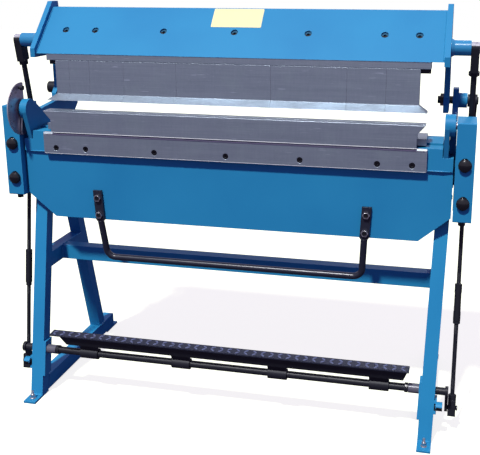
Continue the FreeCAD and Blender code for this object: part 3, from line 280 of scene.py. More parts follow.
class Nodes:
    """A node tree that is being filled."""

    def __init__(self, tree):
        self.tree = tree

    def plug(self, socket, value):
        if isinstance(value, Wire):
            self.tree.links.new(value.socket, socket)
        elif socket.type == "RGBA" and len(value) == 3:
            socket.default_value = (*value, 1.0)
        else:
            socket.default_value = value

    def node(self, kind, settings, sockets, output=0):
        made = self.tree.nodes.new(kind)
        for name, value in settings.items():
            setattr(made, name, value)
        for name, value in sockets.items():
            self.plug(made.inputs[name], value)
        return Wire(self, made.outputs[output])

    def own(self):
        """The piece's own coordinates."""
        return self.node("ShaderNodeTexCoord", {}, {}, output=3)

    def noise(self, scale, detail=2.0, roughness=0.5, stretch=(1.0, 1.0, 1.0),
              turn=(0.0, 0.0, 0.0)):
        """A pattern on the piece's own coordinates, stretched and turned."""
        sockets = {"Vector": self.own(), "Rotation": turn, "Scale": stretch}
        place = self.node("ShaderNodeMapping", {}, sockets)
        sockets = {"Vector": place, "Scale": scale, "Detail": detail, "Roughness": roughness}
        return self.node("ShaderNodeTexNoise", {}, sockets)

    def along(self, axis):
        sockets = {"Vector": self.own()}
        return self.node("ShaderNodeSeparateXYZ", {}, sockets, output="XYZ".index(axis))

    def mix(self, low, high, factor):
        sockets = {0: factor, 6: low, 7: high}
        return self.node("ShaderNodeMix", {"data_type": "RGBA"}, sockets, output=2)

    def rounded(self, radius):
        """Normals that run round the edges."""
        return self.node("ShaderNodeBevel", {"samples": 4}, {"Radius": radius})


class Finish(Nodes):
    """A material being built from its nodes."""

    def __init__(self, name):
        self.material = bpy.data.materials.new(name)
        self.material.use_nodes = True
        super().__init__(self.material.node_tree)
        self.shader = self.tree.nodes["Principled BSDF"]

    def set(self, **values):
        for name, value in values.items():
            self.plug(self.shader.inputs[name.replace("_", " ")], value)

    def colour(self):
        """The base colour as it is so far."""
        return Wire(self, self.shader.inputs["Base Color"].links[0].from_socket)

    def edges(self, radius):
        """1 along outer and inner edges, 0 on flats."""
        round_normal = self.rounded(radius)
        flat_normal = self.node("ShaderNodeNewGeometry", {}, {}, output=1)
        sockets = {0: round_normal, 1: flat_normal}
        same = self.node("ShaderNodeVectorMath", {"operation": "DOT_PRODUCT"}, sockets, output=1)
        return (1.0 - same).between(0.004, 0.12)

    def relief(self, height, distance, strength, radius=0.0):
        sockets = {"Height": height, "Distance": distance, "Strength": strength}
        if radius:
            sockets["Normal"] = self.rounded(radius)
        self.set(Normal=self.node("ShaderNodeBump", {}, sockets))


def shade(colour, share, lift=0.0):
    """A colour made darker or lighter."""
    return tuple(min(1.0, value * share + lift) for value in colour)


def make_enamel(colours, name="blue_enamel", shine=0.16, roughness=0.4):
    """Sprayed enamel with orange peel and specks of dust, its edges painted lighter as a highlight."""
    finish = Finish(name)
    rim = 0.0012
    cloud = finish.noise(3.5, detail=3.0).between(0.3, 0.7)
    edge = finish.edges(rim)
    peel = finish.noise(420.0)
    dust = finish.noise(1500.0, detail=1.0).between(0.68, 0.78)
    base = finish.mix(colours.enamel_deep, colours.enamel, cloud)
    # Painted highlight: every edge is mixed towards this lighter enamel; the real dust specks take the same
    # colour.
    light = shade(colours.enamel, 1.5, 0.05)
    base = finish.mix(base, light, edge * 0.55 + dust * 0.1)
    finish.set(Base_Color=base, Roughness=roughness + 0.12 * peel, Specular_IOR_Level=shine)
    finish.relief(peel + 0.4 * dust, distance=0.00012, strength=0.6, radius=rim)
    return finish


def make_lug_enamel(colours):
    """Enamel on the lug, black oxide on the bolt end and low on the outer part."""
    finish = make_enamel(colours)
    finish.material.name = "lug_enamel"
    low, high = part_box("stop_lugs")
    y = finish.along("Y") - (low.y + LUG_RING / 2.0)
    z = finish.along("Z") - (low.z + high.z) / 2.0
    x = finish.along("X")
    outer = (x * x).root().between(*(high.x - depth for depth in LUG_OUTER))
    eye = 1.0 - (y * y + z * z).root().between(*LUG_EYE)
    metal = (eye + outer * (1.0 - z.between(*LUG_ARCH))).between(0.0, 1.0)
    painted = finish.colour()
    finish.set(Base_Color=finish.mix(painted, colours.black, metal), Metallic=metal * 0.4)
    return finish


def make_ground_steel(colours, name, rim, shine):
    """Steel ground along X, with slanted scratches, pits and handling marks, and its edges painted lighter as a
    highlight.
    """
    finish = Finish(name)
    grain = finish.noise(1.0, detail=3.0, roughness=0.6, stretch=(9.0, 700.0, 700.0))
    band = finish.noise(1.0, stretch=(2.5, 60.0, 60.0))
    cross = finish.noise(1.0, detail=3.0, roughness=0.6, stretch=(220.0, 30.0, 22.0))
    handling = finish.noise(14.0, detail=4.0, roughness=0.65).between(0.42, 0.72)
    slant = finish.noise(1.0, detail=1.0, stretch=(18.0, 900.0, 260.0), turn=(0.5, 0.35, 0.2))
    slant = slant.between(0.72, 0.78)
    steep = finish.noise(1.0, detail=1.0, stretch=(60.0, 500.0, 1400.0), turn=(-0.4, 0.9, -0.3))
    steep = steep.between(0.74, 0.79)
    pit = finish.noise(260.0, detail=3.0, roughness=0.6).between(0.66, 0.76)
    edge = finish.edges(rim)
    marks = grain.between(0.3, 0.8) * 0.28 + band * 0.3 + cross.between(0.3, 0.7) * 0.09
    base = finish.mix(colours.steel, colours.steel_light, marks)
    # The slanted scratches are real bright marks; the edges, as strong as shine, are a painted highlight in the
    # same colour.
    bright = shade(colours.steel_light, 1.6, 0.05)
    base = finish.mix(base, bright, slant * 0.4 + steep * 0.4 + edge * shine)
    base = finish.mix(base, shade(colours.steel, 0.45), pit * 0.35 + handling * 0.2)
    finish.set(Base_Color=base, Metallic=0.75, Roughness=0.36 + 0.14 * handling + 0.1 * grain)
    height = grain * 0.4 + slant * 0.5 + steep * 0.5 - pit * 0.7
    finish.relief(height, distance=0.00005, strength=0.7, radius=rim)
    return finish


def make_black(colours, name, own, wear, grit, gloss):
    """Black oxide or dark coat, from matt at a gloss of 0 to wet at 1."""
    finish = Finish(name)
    rim = 0.0009
    cloud = finish.noise(40.0, detail=3.0)
    fine = finish.noise(700.0)
    edge = finish.edges(rim)
    rubbed = finish.noise(90.0, detail=4.0, roughness=0.7).between(0.62, 0.74)
    base = finish.mix(own, shade(own, 1.6, 0.002), cloud)
    # Every edge is mixed a little towards the bare-steel colour as a painted highlight, and more with wear as real
    # rubbing; the rubbed patches are real wear.
    base = finish.mix(base, colours.worn, edge * (0.25 + 0.6 * wear) + rubbed * wear * 0.35)
    finish.set(Base_Color=base, Metallic=0.1, Roughness=0.5 - 0.34 * gloss + 0.1 * cloud)
    finish.set(Specular_IOR_Level=0.14 + 0.3 * gloss)
    finish.relief(fine, distance=grit, strength=0.7, radius=rim)
    return finish


def make_screw_pocket(colours):
    """Enamel painted in shade on the screw in the deep hole: darkened enamel on its upper half, black on its lower
    half.
    """
    finish = make_enamel(colours)
    finish.material.name = "screw_pocket"
    low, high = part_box("beam_shell")
    facing = Vector((0.0, low.z - high.z, high.y - beam_flat_top() - low.y)).normalized()
    points = [v.co for v in frame["nodes"]["beam_screws"].data.vertices]
    front = max(point.dot(facing) for point in points)
    face = [point.z for point in points if point.dot(facing) > front - SCREW_FACE]
    middle = (min(face) + max(face)) / 2.0
    # Painted shade: black on the lower half of the screw's face, enamel darkened to 0.35 above.
    upper = finish.along("Z").between(*(middle + border for border in POCKET_SHADE))
    finish.set(Base_Color=finish.mix(colours.black, shade(colours.enamel, 0.35), upper))
    return finish


def make_rod_head(colours):
    """Oiled black with the top of the rod end painted lighter, mottled, as a highlight."""
    finish = make_black(colours, "rod_head", colours.black, wear=0.1, grit=0.00004, gloss=0.2)
    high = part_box("upper_rods")[1].z
    highlight_mottle = finish.noise(160.0, detail=3.0).between(0.25, 0.6)
    # Painted highlight: the top of the rod end mixed towards a darkened zinc colour.
    top = finish.along("Z").between(*(high - depth for depth in ROD_TOP_HIGHLIGHT))
    worn = top * (0.5 + 0.5 * highlight_mottle)
    finish.set(Base_Color=finish.mix(finish.colour(), shade(colours.zinc, 0.7), worn))
    return finish


def make_zinc(colours):
    """Zinc plating on turned steel."""
    finish = Finish("zinc_plate")
    rim = 0.0006
    cloud = finish.noise(120.0, detail=3.0)
    turned = finish.noise(1.0, stretch=(1500.0, 60.0, 60.0))
    edge = finish.edges(rim)
    base = finish.mix(shade(colours.zinc, 0.72), colours.zinc, cloud)
    # Painted highlight: the edges mixed towards near-white.
    base = finish.mix(base, (0.85, 0.86, 0.88), edge * 0.5)
    finish.set(Base_Color=base, Metallic=1.0, Roughness=0.22 + 0.16 * cloud)
    finish.relief(turned, distance=0.00003, strength=0.6, radius=rim)
    return finish


def make_dial(colours):
    """Brushed plate with smears and reddish tarnish."""
    finish = Finish("dial_plate")
    brushed = finish.noise(1.0, stretch=(60.0, 60.0, 1300.0))
    smear = finish.noise(50.0, detail=3.0).between(0.45, 0.7)
    dark = shade(colours.dial, 0.6)
    base = finish.mix(dark, colours.dial, brushed)
    base = finish.mix(base, dark, smear * 0.4)
    tarnish = finish.noise(65.0, turn=(0.4, 0.0, 0.0)).between(0.56, 0.72)
    base = finish.mix(base, (0.4, 0.2, 0.22), tarnish * 0.25)
    finish.set(Base_Color=base, Metallic=0.6, Roughness=0.28 + 0.2 * smear)
    finish.relief(brushed, distance=0.00003, strength=0.6)
    return finish


def make_print(name, colour, roughness):
    """A coat of one colour, a little uneven in tone."""
    finish = Finish(name)
    soft = finish.noise(300.0)
    wash = finish.noise(18.0)
    base = finish.mix(colour, shade(colour, 1.08, 0.004), wash)
    finish.set(Base_Color=base, Roughness=roughness + 0.1 * soft)
    finish.relief(soft, distance=0.00003, strength=0.5)
    return finish


def both(*names):
    """The right and the left node of each name."""
    return [name + side for name in names for side in ("_right", "_left")]


NODE_FINISHES = {
    "blue": (*both("front_leg", "rear_leg", "bottom_rail", "side_plate", "hinge_block",
                   "beam_end_plate", "leaf_cheek"),
             "side_rails", "top_rails", "cross_rail", "bed_beam", "pedal_bearings",
             "beam_shell", "leaf_beam", "apron"),
    "gloss": ("stub_shafts",),
    "head": ("upper_rods",),
    "lug": ("stop_lugs",),
    "pocket": ("beam_screws",),
    "strip": ("leaf_rail", "leaf_clamp_strip"),
    "steel": ("lower_jaw", "finger_holder", "backing_bar",
              *("finger_%d" % place for place in range(1, 9))),
    "bolt": ("block_bolts", "leaf_screws", "pivot_shafts"),
    "handle": ("leaf_handle",),
    "bush": ("pedal_bushes",),
    "black": (*both("lower_rod", "turnbuckle"), "block_adjusting_screws", "finger_clamp_bar",
              "knee_levers", "pedal_arms", "pedal_cranks", "angle_stop_screw"),
    "worn": ("pedal_shaft",),
    "zinc": ("leaf_hinge_pins", "handle_bolts", "angle_pointer"),
    "dial": ("protractor",),
}
# Name of the material, its colour and the share of it, wear, grit and gloss
BLACKS = {
    "black": ("black_steel", "black", 1.0, 0.1, 0.00004, 0.2),
    "worn": ("worn_black_steel", "black", 1.0, 0.35, 0.00008, 0.35),
    "bolt": ("glossy_black", "black", 0.5, 0.0, 0.00002, 1.0),
    "rib": ("ribbed_plate", "slate", 2.4, 0.0, 0.00008, 0.2),
    "plate_steel": ("plate_steel", "slate", 0.5, 0.1, 0.00008, 0.2),
    "handle": ("handle_coat", "slate", 0.35, 0.15, 0.00004, 0.75),
    "bush": ("turned_bush", "worn", 0.65, 0.5, 0.00003, 1.0),
}
finishes = {}


def piece(name, shape, finish, body, closed=True):
    """Turn a bmesh into a finished piece that rides on a body."""
    if closed:
        outward(shape)
    mesh = bpy.data.meshes.new(name)
    shape.to_mesh(mesh)
    shape.free()
    made = bpy.data.objects.new(name, mesh)
    bpy.context.scene.collection.objects.link(made)
    mesh.materials.append(finishes[finish])
    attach(made, body)
    return made


def lathe(shape, profile, place, steps):
    """Spin a radius and height profile round the local Z axis."""
    corners = [bmesh.ops.create_vert(shape, co=(radius, 0.0, height))["vert"][0]
               for radius, height in profile]
    lines = [shape.edges.new(pair) for pair in zip(corners[:-1], corners[1:])]
    before = set(shape.verts)
    bmesh.ops.spin(shape, geom=corners + lines, cent=(0, 0, 0), axis=(0, 0, 1), dvec=(0, 0, 0),
                   angle=math.tau, steps=steps, use_merge=True, use_duplicate=False)
    spun = [v for v in shape.verts if v not in before] + [v for v in corners if v.is_valid]
    bmesh.ops.transform(shape, matrix=place, verts=spun)


def drum(shape, radius, depth, place, sides):
    """A closed cylinder or prism standing on the local XY plane."""
    up = Matrix.Translation((0, 0, depth / 2.0))
    bmesh.ops.create_cone(shape, cap_ends=True, segments=sides, radius1=radius, radius2=radius,
                          depth=depth, matrix=place @ up)


def block(shape, place, size):
    """A rectangular block centred on a place."""
    bmesh.ops.create_cube(shape, size=1.0, matrix=place @ Matrix.Diagonal((*size, 1.0)))


def chamfer(shape, edges, width, steps):
    bmesh.ops.bevel(shape, geom=edges, offset=width, affect="EDGES", segments=steps, profile=0.5,
                    material=-1)


def soften(shape, width):
    """Bevel every edge whose faces meet at a clear angle."""
    sharp = [edge for edge in shape.edges
             if edge.is_manifold and edge.calc_face_angle(0.0) > SHARP_ANGLE]
    bmesh.ops.bevel(shape, geom=sharp, offset=width, affect="EDGES", segments=2, profile=0.5,
                    material=-1, clamp_overlap=True)


def outward(shape):
    """Close the seams and turn the faces outwards."""
    bmesh.ops.remove_doubles(shape, verts=shape.verts, dist=MERGE)
    bmesh.ops.recalc_face_normals(shape, faces=shape.faces)


def cad_copy(node):
    """A merged copy of a CAD node's mesh."""
    shape = bmesh.new()
    shape.from_mesh(frame["nodes"][node].data)
    bmesh.ops.remove_doubles(shape, verts=shape.verts, dist=CAD_MERGE)
    return shape


def cut(shape, corner, normal, **sides):
    """Cut away one side of a plane and return the open edges."""
    everything = shape.verts[:] + shape.edges[:] + shape.faces[:]
    bmesh.ops.bisect_plane(shape, geom=everything, plane_co=corner, plane_no=normal, **sides)
    return [edge for edge in shape.edges if edge.is_boundary]


def aim(start, direction):
    """A place at start whose Z axis looks along direction."""
    turn = Vector(direction).to_track_quat("Z", "Y").to_matrix().to_4x4()
    return Matrix.Translation(start) @ turn


def basis(x, y, z):
    """A turn that lays the three axes along x, y and z."""
    return Matrix((x, y, z)).transposed().to_4x4()


def towards(vector, way):
    """The vector or its opposite, whichever points the given way."""
    return vector if vector.dot(way) >= 0.0 else -vector


def middle_of(node):
    low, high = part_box(node)
    return (low + high) / 2.0


def rod_hinge(name):
    """Where the lower rod turns on the crank pin, on one side."""
    joint = next(j for j in frame["joints"] if j["name"] == name + "_rod_hinge")
    return Vector(joint["pos_m"])


def beam_flat_top():
    """Depth of the beam's narrow level top, read from its highest vertices."""
    mesh = frame["nodes"]["beam_shell"].data
    high = max(v.co.z for v in mesh.vertices)
    level = [v.co.y for v in mesh.vertices if v.co.z > high - BEAM_TOP]
    return max(level) - min(level)


def bush_inner_end():
    """How far out the inner end of the pedal's bush lies."""
    mesh = frame["nodes"]["pedal_bushes"].data
    return min(abs(v.co.x) for v in mesh.vertices)


def bead(shape, start, end, radius, ripple):
    """A weld bead with ripples and rounded ends."""
    run = Vector(end) - Vector(start)
    rings = max(6, int(run.length / ripple * 2.0))
    profile = [(0.0, 0.0)]
    for ring in range(1, rings):
        along = run.length * ring / rings
        taper = min(1.0, 0.4 + 0.6 * min(along, run.length - along) / radius)
        wave = 1.0 + 0.1 * (-1) ** ring + 0.06 * math.sin(along / ripple * 1.7)
        profile.append((radius * taper * wave, along))
    lathe(shape, profile + [(0.0, run.length)], aim(start, run), steps=8)


def thread_profile(radius, pitch, height):
    """Closed rings that stand for the turns of a thread."""
    turns = max(2, int(height / pitch))
    root = radius * THREAD_ROOT
    profile = [(0.0, 0.0), (root, 0.0)]
    for turn in range(turns):
        profile += [(radius, (turn + 0.5) * pitch), (root, (turn + 1) * pitch)]
    return profile + [(0.0, turns * pitch)]


class FOLDER_OT_finishes(bpy.types.Operator):
    """Give every CAD node its enamel, steel or plating"""
    bl_idname = "folder.finishes"
    bl_label = "Finishes"

    def execute(self, context):
        colours = context.scene.folder_colours
        made = {
            "blue": make_enamel(colours),
            "lug": make_lug_enamel(colours),
            "gloss": make_enamel(colours, "gloss_enamel", shine=0.6, roughness=0.16),
            "head": make_rod_head(colours),
            "pocket": make_screw_pocket(colours),
            "steel": make_ground_steel(colours, "ground_steel", rim=0.0008, shine=0.45),
            # Wider and stronger painted edge highlight on the leaf's rail and strip
            "strip": make_ground_steel(colours, "edged_steel", rim=0.0016, shine=0.6),
            "zinc": make_zinc(colours),
            "dial": make_dial(colours),
            "marks": make_print("dial_marks", colours.dial_mark, roughness=0.45),
            # Painted highlight: pale matte colour for the thin lands along the strip's edges
            "land": make_print("ground_land", (0.7, 0.76, 0.7), roughness=0.35),
            "plate": make_print("blank_plate", colours.plate, roughness=0.3),
        }
        for name, (title, tone, share, wear, grit, gloss) in BLACKS.items():
            own = shade(getattr(colours, tone), share)
            made[name] = make_black(colours, title, own, wear, grit, gloss)
        for name, finish in made.items():
            finishes[name] = finish.material
        for name, nodes in NODE_FINISHES.items():
            for node in nodes:
                for place in frame["nodes"][node].material_slots:
                    place.material = finishes[name]
        return {"FINISHED"}


class FOLDER_OT_blank_plate(bpy.types.Operator):
    """Put the pale plate on the beam's sloping front, left bare"""
    bl_idname = "folder.blank_plate"
    bl_label = "Blank plate"

    def execute(self, context):
        sizes = context.scene.folder_sizes
        low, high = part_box("beam_shell")
        top = Vector((0.0, high.y - beam_flat_top(), high.z))
        slope = (top - Vector((0.0, low.y, low.z))).normalized()
        normal = towards(slope.cross(X_AXIS), -Y_AXIS)
        centre = top - slope * (sizes.plate_gap + sizes.plate_height / 2.0) + normal * PROUD
        shape = bmesh.new()
        size = (sizes.plate_width, sizes.plate_height, PLATE_THICKNESS)
        block(shape, Matrix.Identity(4), size)
        upright = [edge for edge in shape.edges
                   if abs(edge.verts[0].co.z - edge.verts[1].co.z) > PLATE_THICKNESS / 2.0]
        chamfer(shape, upright, PLATE_CORNER, steps=4)
        place = Matrix.Translation(centre) @ basis(X_AXIS, slope, normal)
        bmesh.ops.transform(shape, matrix=place, verts=shape.verts)
        piece("blank_plate", shape, "plate", "clamp_beam")
        return {"FINISHED"}


class FOLDER_OT_dial_marks(bpy.types.Operator):
    """Engrave the protractor with graduations and numbers"""
    bl_idname = "folder.dial_marks"
    bl_label = "Dial marks"

    def execute(self, context):
        sizes = context.scene.folder_sizes
        low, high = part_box("protractor")
        pin = middle_of("leaf_hinge_pins")
        centre = Vector((high.x, pin.y, pin.z))
        radius = (high.z - low.z) / 2.0
        shape = bmesh.new()
        for step in range(DIAL_STEPS):
            angle, spoke = self.spoke(DIAL_STEP * step)
            size = sizes.tick if step % STEPS_TO_LONG_TICK == 0 else sizes.tick * SHORT_TICK
            spot = centre + spoke * (radius - TICK_INSET - size / 2.0)
            place = Matrix.Translation(spot) @ Matrix.Rotation(angle, 4, "X")
            block(shape, place, (TICK_DEPTH, size, TICK_WIDTH))
        piece("dial_graduations", shape, "marks", "frame")
        for degrees in DIAL_NUMBERS:
            spot = centre + self.spoke(degrees)[1] * (radius - NUMBER_INSET)
            self.number(str(degrees), spot, sizes.number)
        return {"FINISHED"}

    def spoke(self, degrees):
        """The angle of a mark, and its direction from the hinge pin."""
        angle = math.radians(DIAL_ZERO - degrees)
        return angle, Vector((0.0, math.cos(angle), math.sin(angle)))

    def number(self, text, spot, height):
        curve = bpy.data.curves.new("dial_number_" + text, "FONT")
        curve.body = text
        curve.size = height
        curve.align_x = "CENTER"
        curve.align_y = "CENTER"
        curve.extrude = NUMBER_DEPTH
        writing = bpy.data.objects.new(curve.name, curve)
        bpy.context.scene.collection.objects.link(writing)
        bpy.context.view_layer.update()
        shape = bmesh.new()
        shape.from_mesh(bpy.data.meshes.new_from_object(writing))
        bpy.data.objects.remove(writing)
        place = Matrix.Translation(spot) @ basis(Y_AXIS, Z_AXIS, X_AXIS)
        bmesh.ops.transform(shape, matrix=place, verts=shape.verts)
        piece(curve.name + "_ink", shape, "marks", "frame", closed=False)


class FOLDER_OT_floor_bolts(bpy.types.Operator):
    """Stand a threaded floor bolt with washer and nut in each foot plate"""
    bl_idname = "folder.floor_bolts"
    bl_label = "Floor bolts"

    def execute(self, context):
        sizes = context.scene.folder_sizes
        mount = next(m for m in frame["record"]["mounts"] if m["name"] == "floor_bolts")
        half_x = mount["dims"]["spacing_x_mm"] / 2000.0
        half_y = mount["dims"]["spacing_y_mm"] / 2000.0
        middle = Vector((0.0, mount["pos_m"][1], 0.0))
        foot_top = mount["pos_m"][2] * 2.0
        for end, row in ((-1, "front_"), (1, "rear_")):
            for side, name in SIDES:
                foot = middle + Vector((side * half_x, end * half_y, 0.0))
                self.bolt("floor_bolt_" + row + name, foot, foot_top, sizes)
        return {"FINISHED"}

    def bolt(self, name, foot, foot_top, sizes):
        shape = bmesh.new()
        washer = Matrix.Translation(foot + Z_AXIS * foot_top)
        drum(shape, sizes.stud * WASHER, WASHER_THICKNESS, washer, sides=28)
        nut = Matrix.Translation(foot + Z_AXIS * (foot_top + WASHER_THICKNESS))
        drum(shape, sizes.stud * NUT, NUT_HEIGHT, nut, sides=6)
        soften(shape, NUT_EDGE)
        profile = thread_profile(sizes.stud, sizes.thread, sizes.stud_height - BOLT_START)
        lathe(shape, profile, Matrix.Translation(foot + Z_AXIS * BOLT_START), steps=20)
        piece(name, shape, "zinc", "frame")


class FOLDER_OT_rod_threads(bpy.types.Operator):
    """Cut threads on the rods beside their nuts and the turnbuckles"""
    bl_idname = "folder.rod_threads"
    bl_label = "Rod threads"

    def execute(self, context):
        sizes = context.scene.folder_sizes
        for name in ("right", "left"):
            sleeve_low, sleeve_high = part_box("turnbuckle_" + name)
            centre = middle_of("turnbuckle_" + name)
            pin = rod_hinge(name)
            pin.x = centre.x
            run = (centre - pin).normalized()
            shape = bmesh.new()
            for height, (start, size) in ((pin.z, EYE_THREAD), (sleeve_low.z, FOOT_THREAD),
                                          (sleeve_high.z, HEAD_THREAD)):
                along = (height - pin.z) / run.z + start
                profile = thread_profile(ROD_THREAD_RADIUS, sizes.thread, size)
                lathe(shape, profile, aim(pin + run * along, run), steps=16)
            piece("rod_thread_" + name, shape, "black", name + "_lower_rod")
        return {"FINISHED"}


class FOLDER_OT_welds(bpy.types.Operator):
    """Lay weld beads where the painted pieces meet, and roll the leaf's lower edge"""
    bl_idname = "folder.welds"
    bl_label = "Welds"

    def execute(self, context):
        self.sizes = context.scene.folder_sizes
        self.leaf()
        self.stand()
        self.beam()
        return {"FINISHED"}

    def lay(self, shape, start, end, share=1.0):
        bead(shape, start, end, self.sizes.bead * share, self.sizes.ripple)

    def leaf(self):
        low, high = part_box("leaf_beam")
        apron_low, apron_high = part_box("apron")
        shape = bmesh.new()
        seam = (apron_low.y + APRON_SEAM, apron_high.z)
        self.lay(shape, (apron_low.x + SEAM_INSET, *seam), (apron_high.x - SEAM_INSET, *seam))
        for side, name in SIDES:
            cheek_low, cheek_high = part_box("leaf_cheek_" + name)
            inner = cheek_low.x if side > 0 else cheek_high.x
            for x in (inner, inner + side * CHEEK_THICKNESS):
                start = (x, low.y + CHEEK_SEAM, cheek_low.z)
                self.lay(shape, start, (x, high.y, cheek_low.z), share=0.9)
        piece("leaf_welds", shape, "blue", "bending_leaf")
        shape = bmesh.new()
        rolled = (low.y - ROLLED_PLACE[0], low.z + ROLLED_PLACE[1])
        bead(shape, (low.x + RAIL_INSET, *rolled), (high.x - RAIL_INSET, *rolled),
             ROLLED_RADIUS, ROLLED_RIPPLE)
        piece("leaf_rolled_edge", shape, "gloss", "bending_leaf")

    def stand(self):
        shape = bmesh.new()
        top_low, top_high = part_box("top_rails")
        seams = [[top_low.y + reach for reach in FRONT_SEAM],
                 [top_high.y - reach for reach in REAR_SEAM]]
        for side, name in SIDES:
            rail_low, rail_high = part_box("bottom_rail_" + name)
            leg_low, leg_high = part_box("rear_leg_" + name)
            for x in (rail_low.x, rail_high.x):
                self.lay(shape, (x, leg_high.y - LEG_SEAM, leg_low.z), (x, leg_high.y, leg_low.z))
            foot = (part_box("front_leg_" + name)[0].y + FOOT_SEAM[0], FOOT_SEAM[1])
            self.lay(shape, (rail_low.x + RAIL_INSET, *foot), (rail_high.x - RAIL_INSET, *foot))
            inner = top_high.x - TUBE if side > 0 else top_low.x
            for x in (inner, inner + TUBE):
                for start, end in seams:
                    self.lay(shape, (x, start, top_low.z), (x, end, top_low.z))
        low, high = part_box("cross_rail")
        for x in (low.x + RAIL_INSET, high.x - RAIL_INSET):
            for y in (low.y, high.y):
                self.lay(shape, (x, y, low.z + SEAM_INSET), (x, y, high.z - SEAM_INSET))
            self.lay(shape, (x, low.y + SEAM_INSET, high.z), (x, high.y - SEAM_INSET, high.z))
        piece("stand_welds", shape, "blue", "frame")

    def beam(self):
        low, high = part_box("beam_shell")
        top_front = high.y - beam_flat_top()
        shape = bmesh.new()
        for end in (low.x, high.x):
            x = end - math.copysign(BEAM_SEAM, end)
            foot = (x, low.y + SEAM_INSET, low.z + SEAM_INSET)
            head = (x, top_front - BEAM_TOP_INSET, high.z - BEAM_TOP_INSET)
            self.lay(shape, foot, head, share=0.8)
            foot = (x, high.y, low.z + BEAM_BACK_INSET)
            self.lay(shape, foot, (x, high.y, high.z - BEAM_BACK_INSET))
        piece("beam_welds", shape, "blue", "clamp_beam")


class FOLDER_OT_pin_fittings(bpy.types.Operator):
    """Add snap rings to the pins, set screws to the collars and sockets to the handle bolts"""
    bl_idname = "folder.pin_fittings"
    bl_label = "Pin fittings"

    def execute(self, context):
        stub_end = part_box("stub_shafts")[1].x - STUB_GROOVE
        stub = middle_of("stub_shafts")
        crank_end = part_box("pedal_cranks")[1].x - CRANK_GROOVE
        for side, name in SIDES:
            place = aim((stub_end * side, stub.y, stub.z), X_AXIS * side)
            self.snap_ring("stub_snap_ring_" + name, place, STUB_RING, 32, "clamp_beam")
            pin = rod_hinge(name)
            place = aim((crank_end * side, pin.y, pin.z), X_AXIS * side)
            self.snap_ring("crank_snap_ring_" + name, place, CRANK_RING, 28, "pedal")
        self.collar_screws()
        self.handle_sockets()
        return {"FINISHED"}

    def snap_ring(self, name, place, radii, steps, body):
        bore, rim, crown = radii
        profile = [(bore, -RING_HALF), (rim, -RING_HALF), (crown, 0.0),
                   (rim, RING_HALF), (bore, RING_HALF)]
        shape = bmesh.new()
        lathe(shape, profile, place, steps)
        piece(name, shape, "zinc", body)

    def collar_screws(self):
        """A set screw on the slant of each collar, a low hexagon on its face."""
        axis = middle_of("pedal_shaft")
        shape = bmesh.new()
        for side in (1.0, -1.0):
            collar = Vector((side * (bush_inner_end() - COLLAR_MIDDLE), axis.y, axis.z))
            spot = collar + SET_SCREW_SLANT * COLLAR_RADIUS
            drum(shape, *SET_SCREW, aim(spot, SET_SCREW_SLANT), sides=16)
            face = spot + SET_SCREW_SLANT * SET_SCREW[1]
            drum(shape, *SET_SCREW_HEX, aim(face, SET_SCREW_SLANT), sides=6)
        piece("collar_set_screws", shape, "bolt", "pedal")

    def handle_sockets(self):
        """Black dishes with a raised rim on the heads of the handle's bolts, painted shade that stands for their
        sockets.
        """
        points = [v.co for v in frame["nodes"]["handle_bolts"].data.vertices]
        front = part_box("handle_bolts")[0].y
        middle = middle_of("handle_bolts").z
        face = [point for point in points if point.y < front + HEAD_FACE]
        shape = bmesh.new()
        for right in (True, False):
            for upper in (True, False):
                head = [p for p in face if (p.x > 0.0) == right and (p.z > middle) == upper]
                spot = sum(head, Vector()) / len(head)
                radius = max((p - spot).length for p in head)
                spot.y = front - PROUD
                profile = [(radius * share, height) for share, height in SOCKET]
                lathe(shape, profile, aim(spot, -Y_AXIS), steps=18)
        piece("handle_bolt_sockets", shape, "bolt", "bending_leaf")


class FOLDER_OT_ground_lands(bpy.types.Operator):
    """Chamfer the clamp strip and draw pale lands along its edges as painted highlight lines"""
    bl_idname = "folder.ground_lands"
    bl_label = "Ground lands"

    def execute(self, context):
        sizes = context.scene.folder_sizes
        low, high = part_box("leaf_clamp_strip")
        shape = cad_copy("leaf_clamp_strip")
        corner = Vector((0.0, low.y, high.z - sizes.chamfer))
        rise = Vector((0.0, sizes.chamfer * CHAMFER_RUN, sizes.chamfer))
        normal = towards(rise.cross(X_AXIS).normalized(), -Y_AXIS)
        gap = cut(shape, corner, normal, clear_outer=True)
        bmesh.ops.holes_fill(shape, edges=gap, sides=0)
        made = piece("clamp_strip_chamfered", shape, "strip", "bending_leaf")
        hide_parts("leaf_clamp_strip")
        self.lands(low, high, sizes.chamfer)
        return {"FINISHED"}

    def lands(self, low, high, chamfer_height):
        """Thin pale lands painted as highlight lines: above the strip on the rail, below its chamfer, at its foot.
        """
        rail_low, rail_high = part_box("leaf_rail")
        below_chamfer = high.z - chamfer_height - LAND_BELOW_CHAMFER
        shape = bmesh.new()
        for start, end, face, bottom, size in (
                (rail_low.x, rail_high.x, rail_low.y, high.z + LAND_ON_RAIL, LAND),
                (low.x, high.x, low.y, below_chamfer, LAND),
                (low.x, high.x, low.y, low.z + LAND_AT_FOOT, LOWER_LAND)):
            middle = Vector(((start + end) / 2.0, face - PROUD, bottom + size / 2.0))
            land = (end - start - LAND_SHORTER, LAND_DEPTH, size)
            block(shape, Matrix.Translation(middle), land)
        chamfer(shape, shape.edges[:], LAND_EDGE, steps=1)
        piece("ground_lands", shape, "land", "bending_leaf")


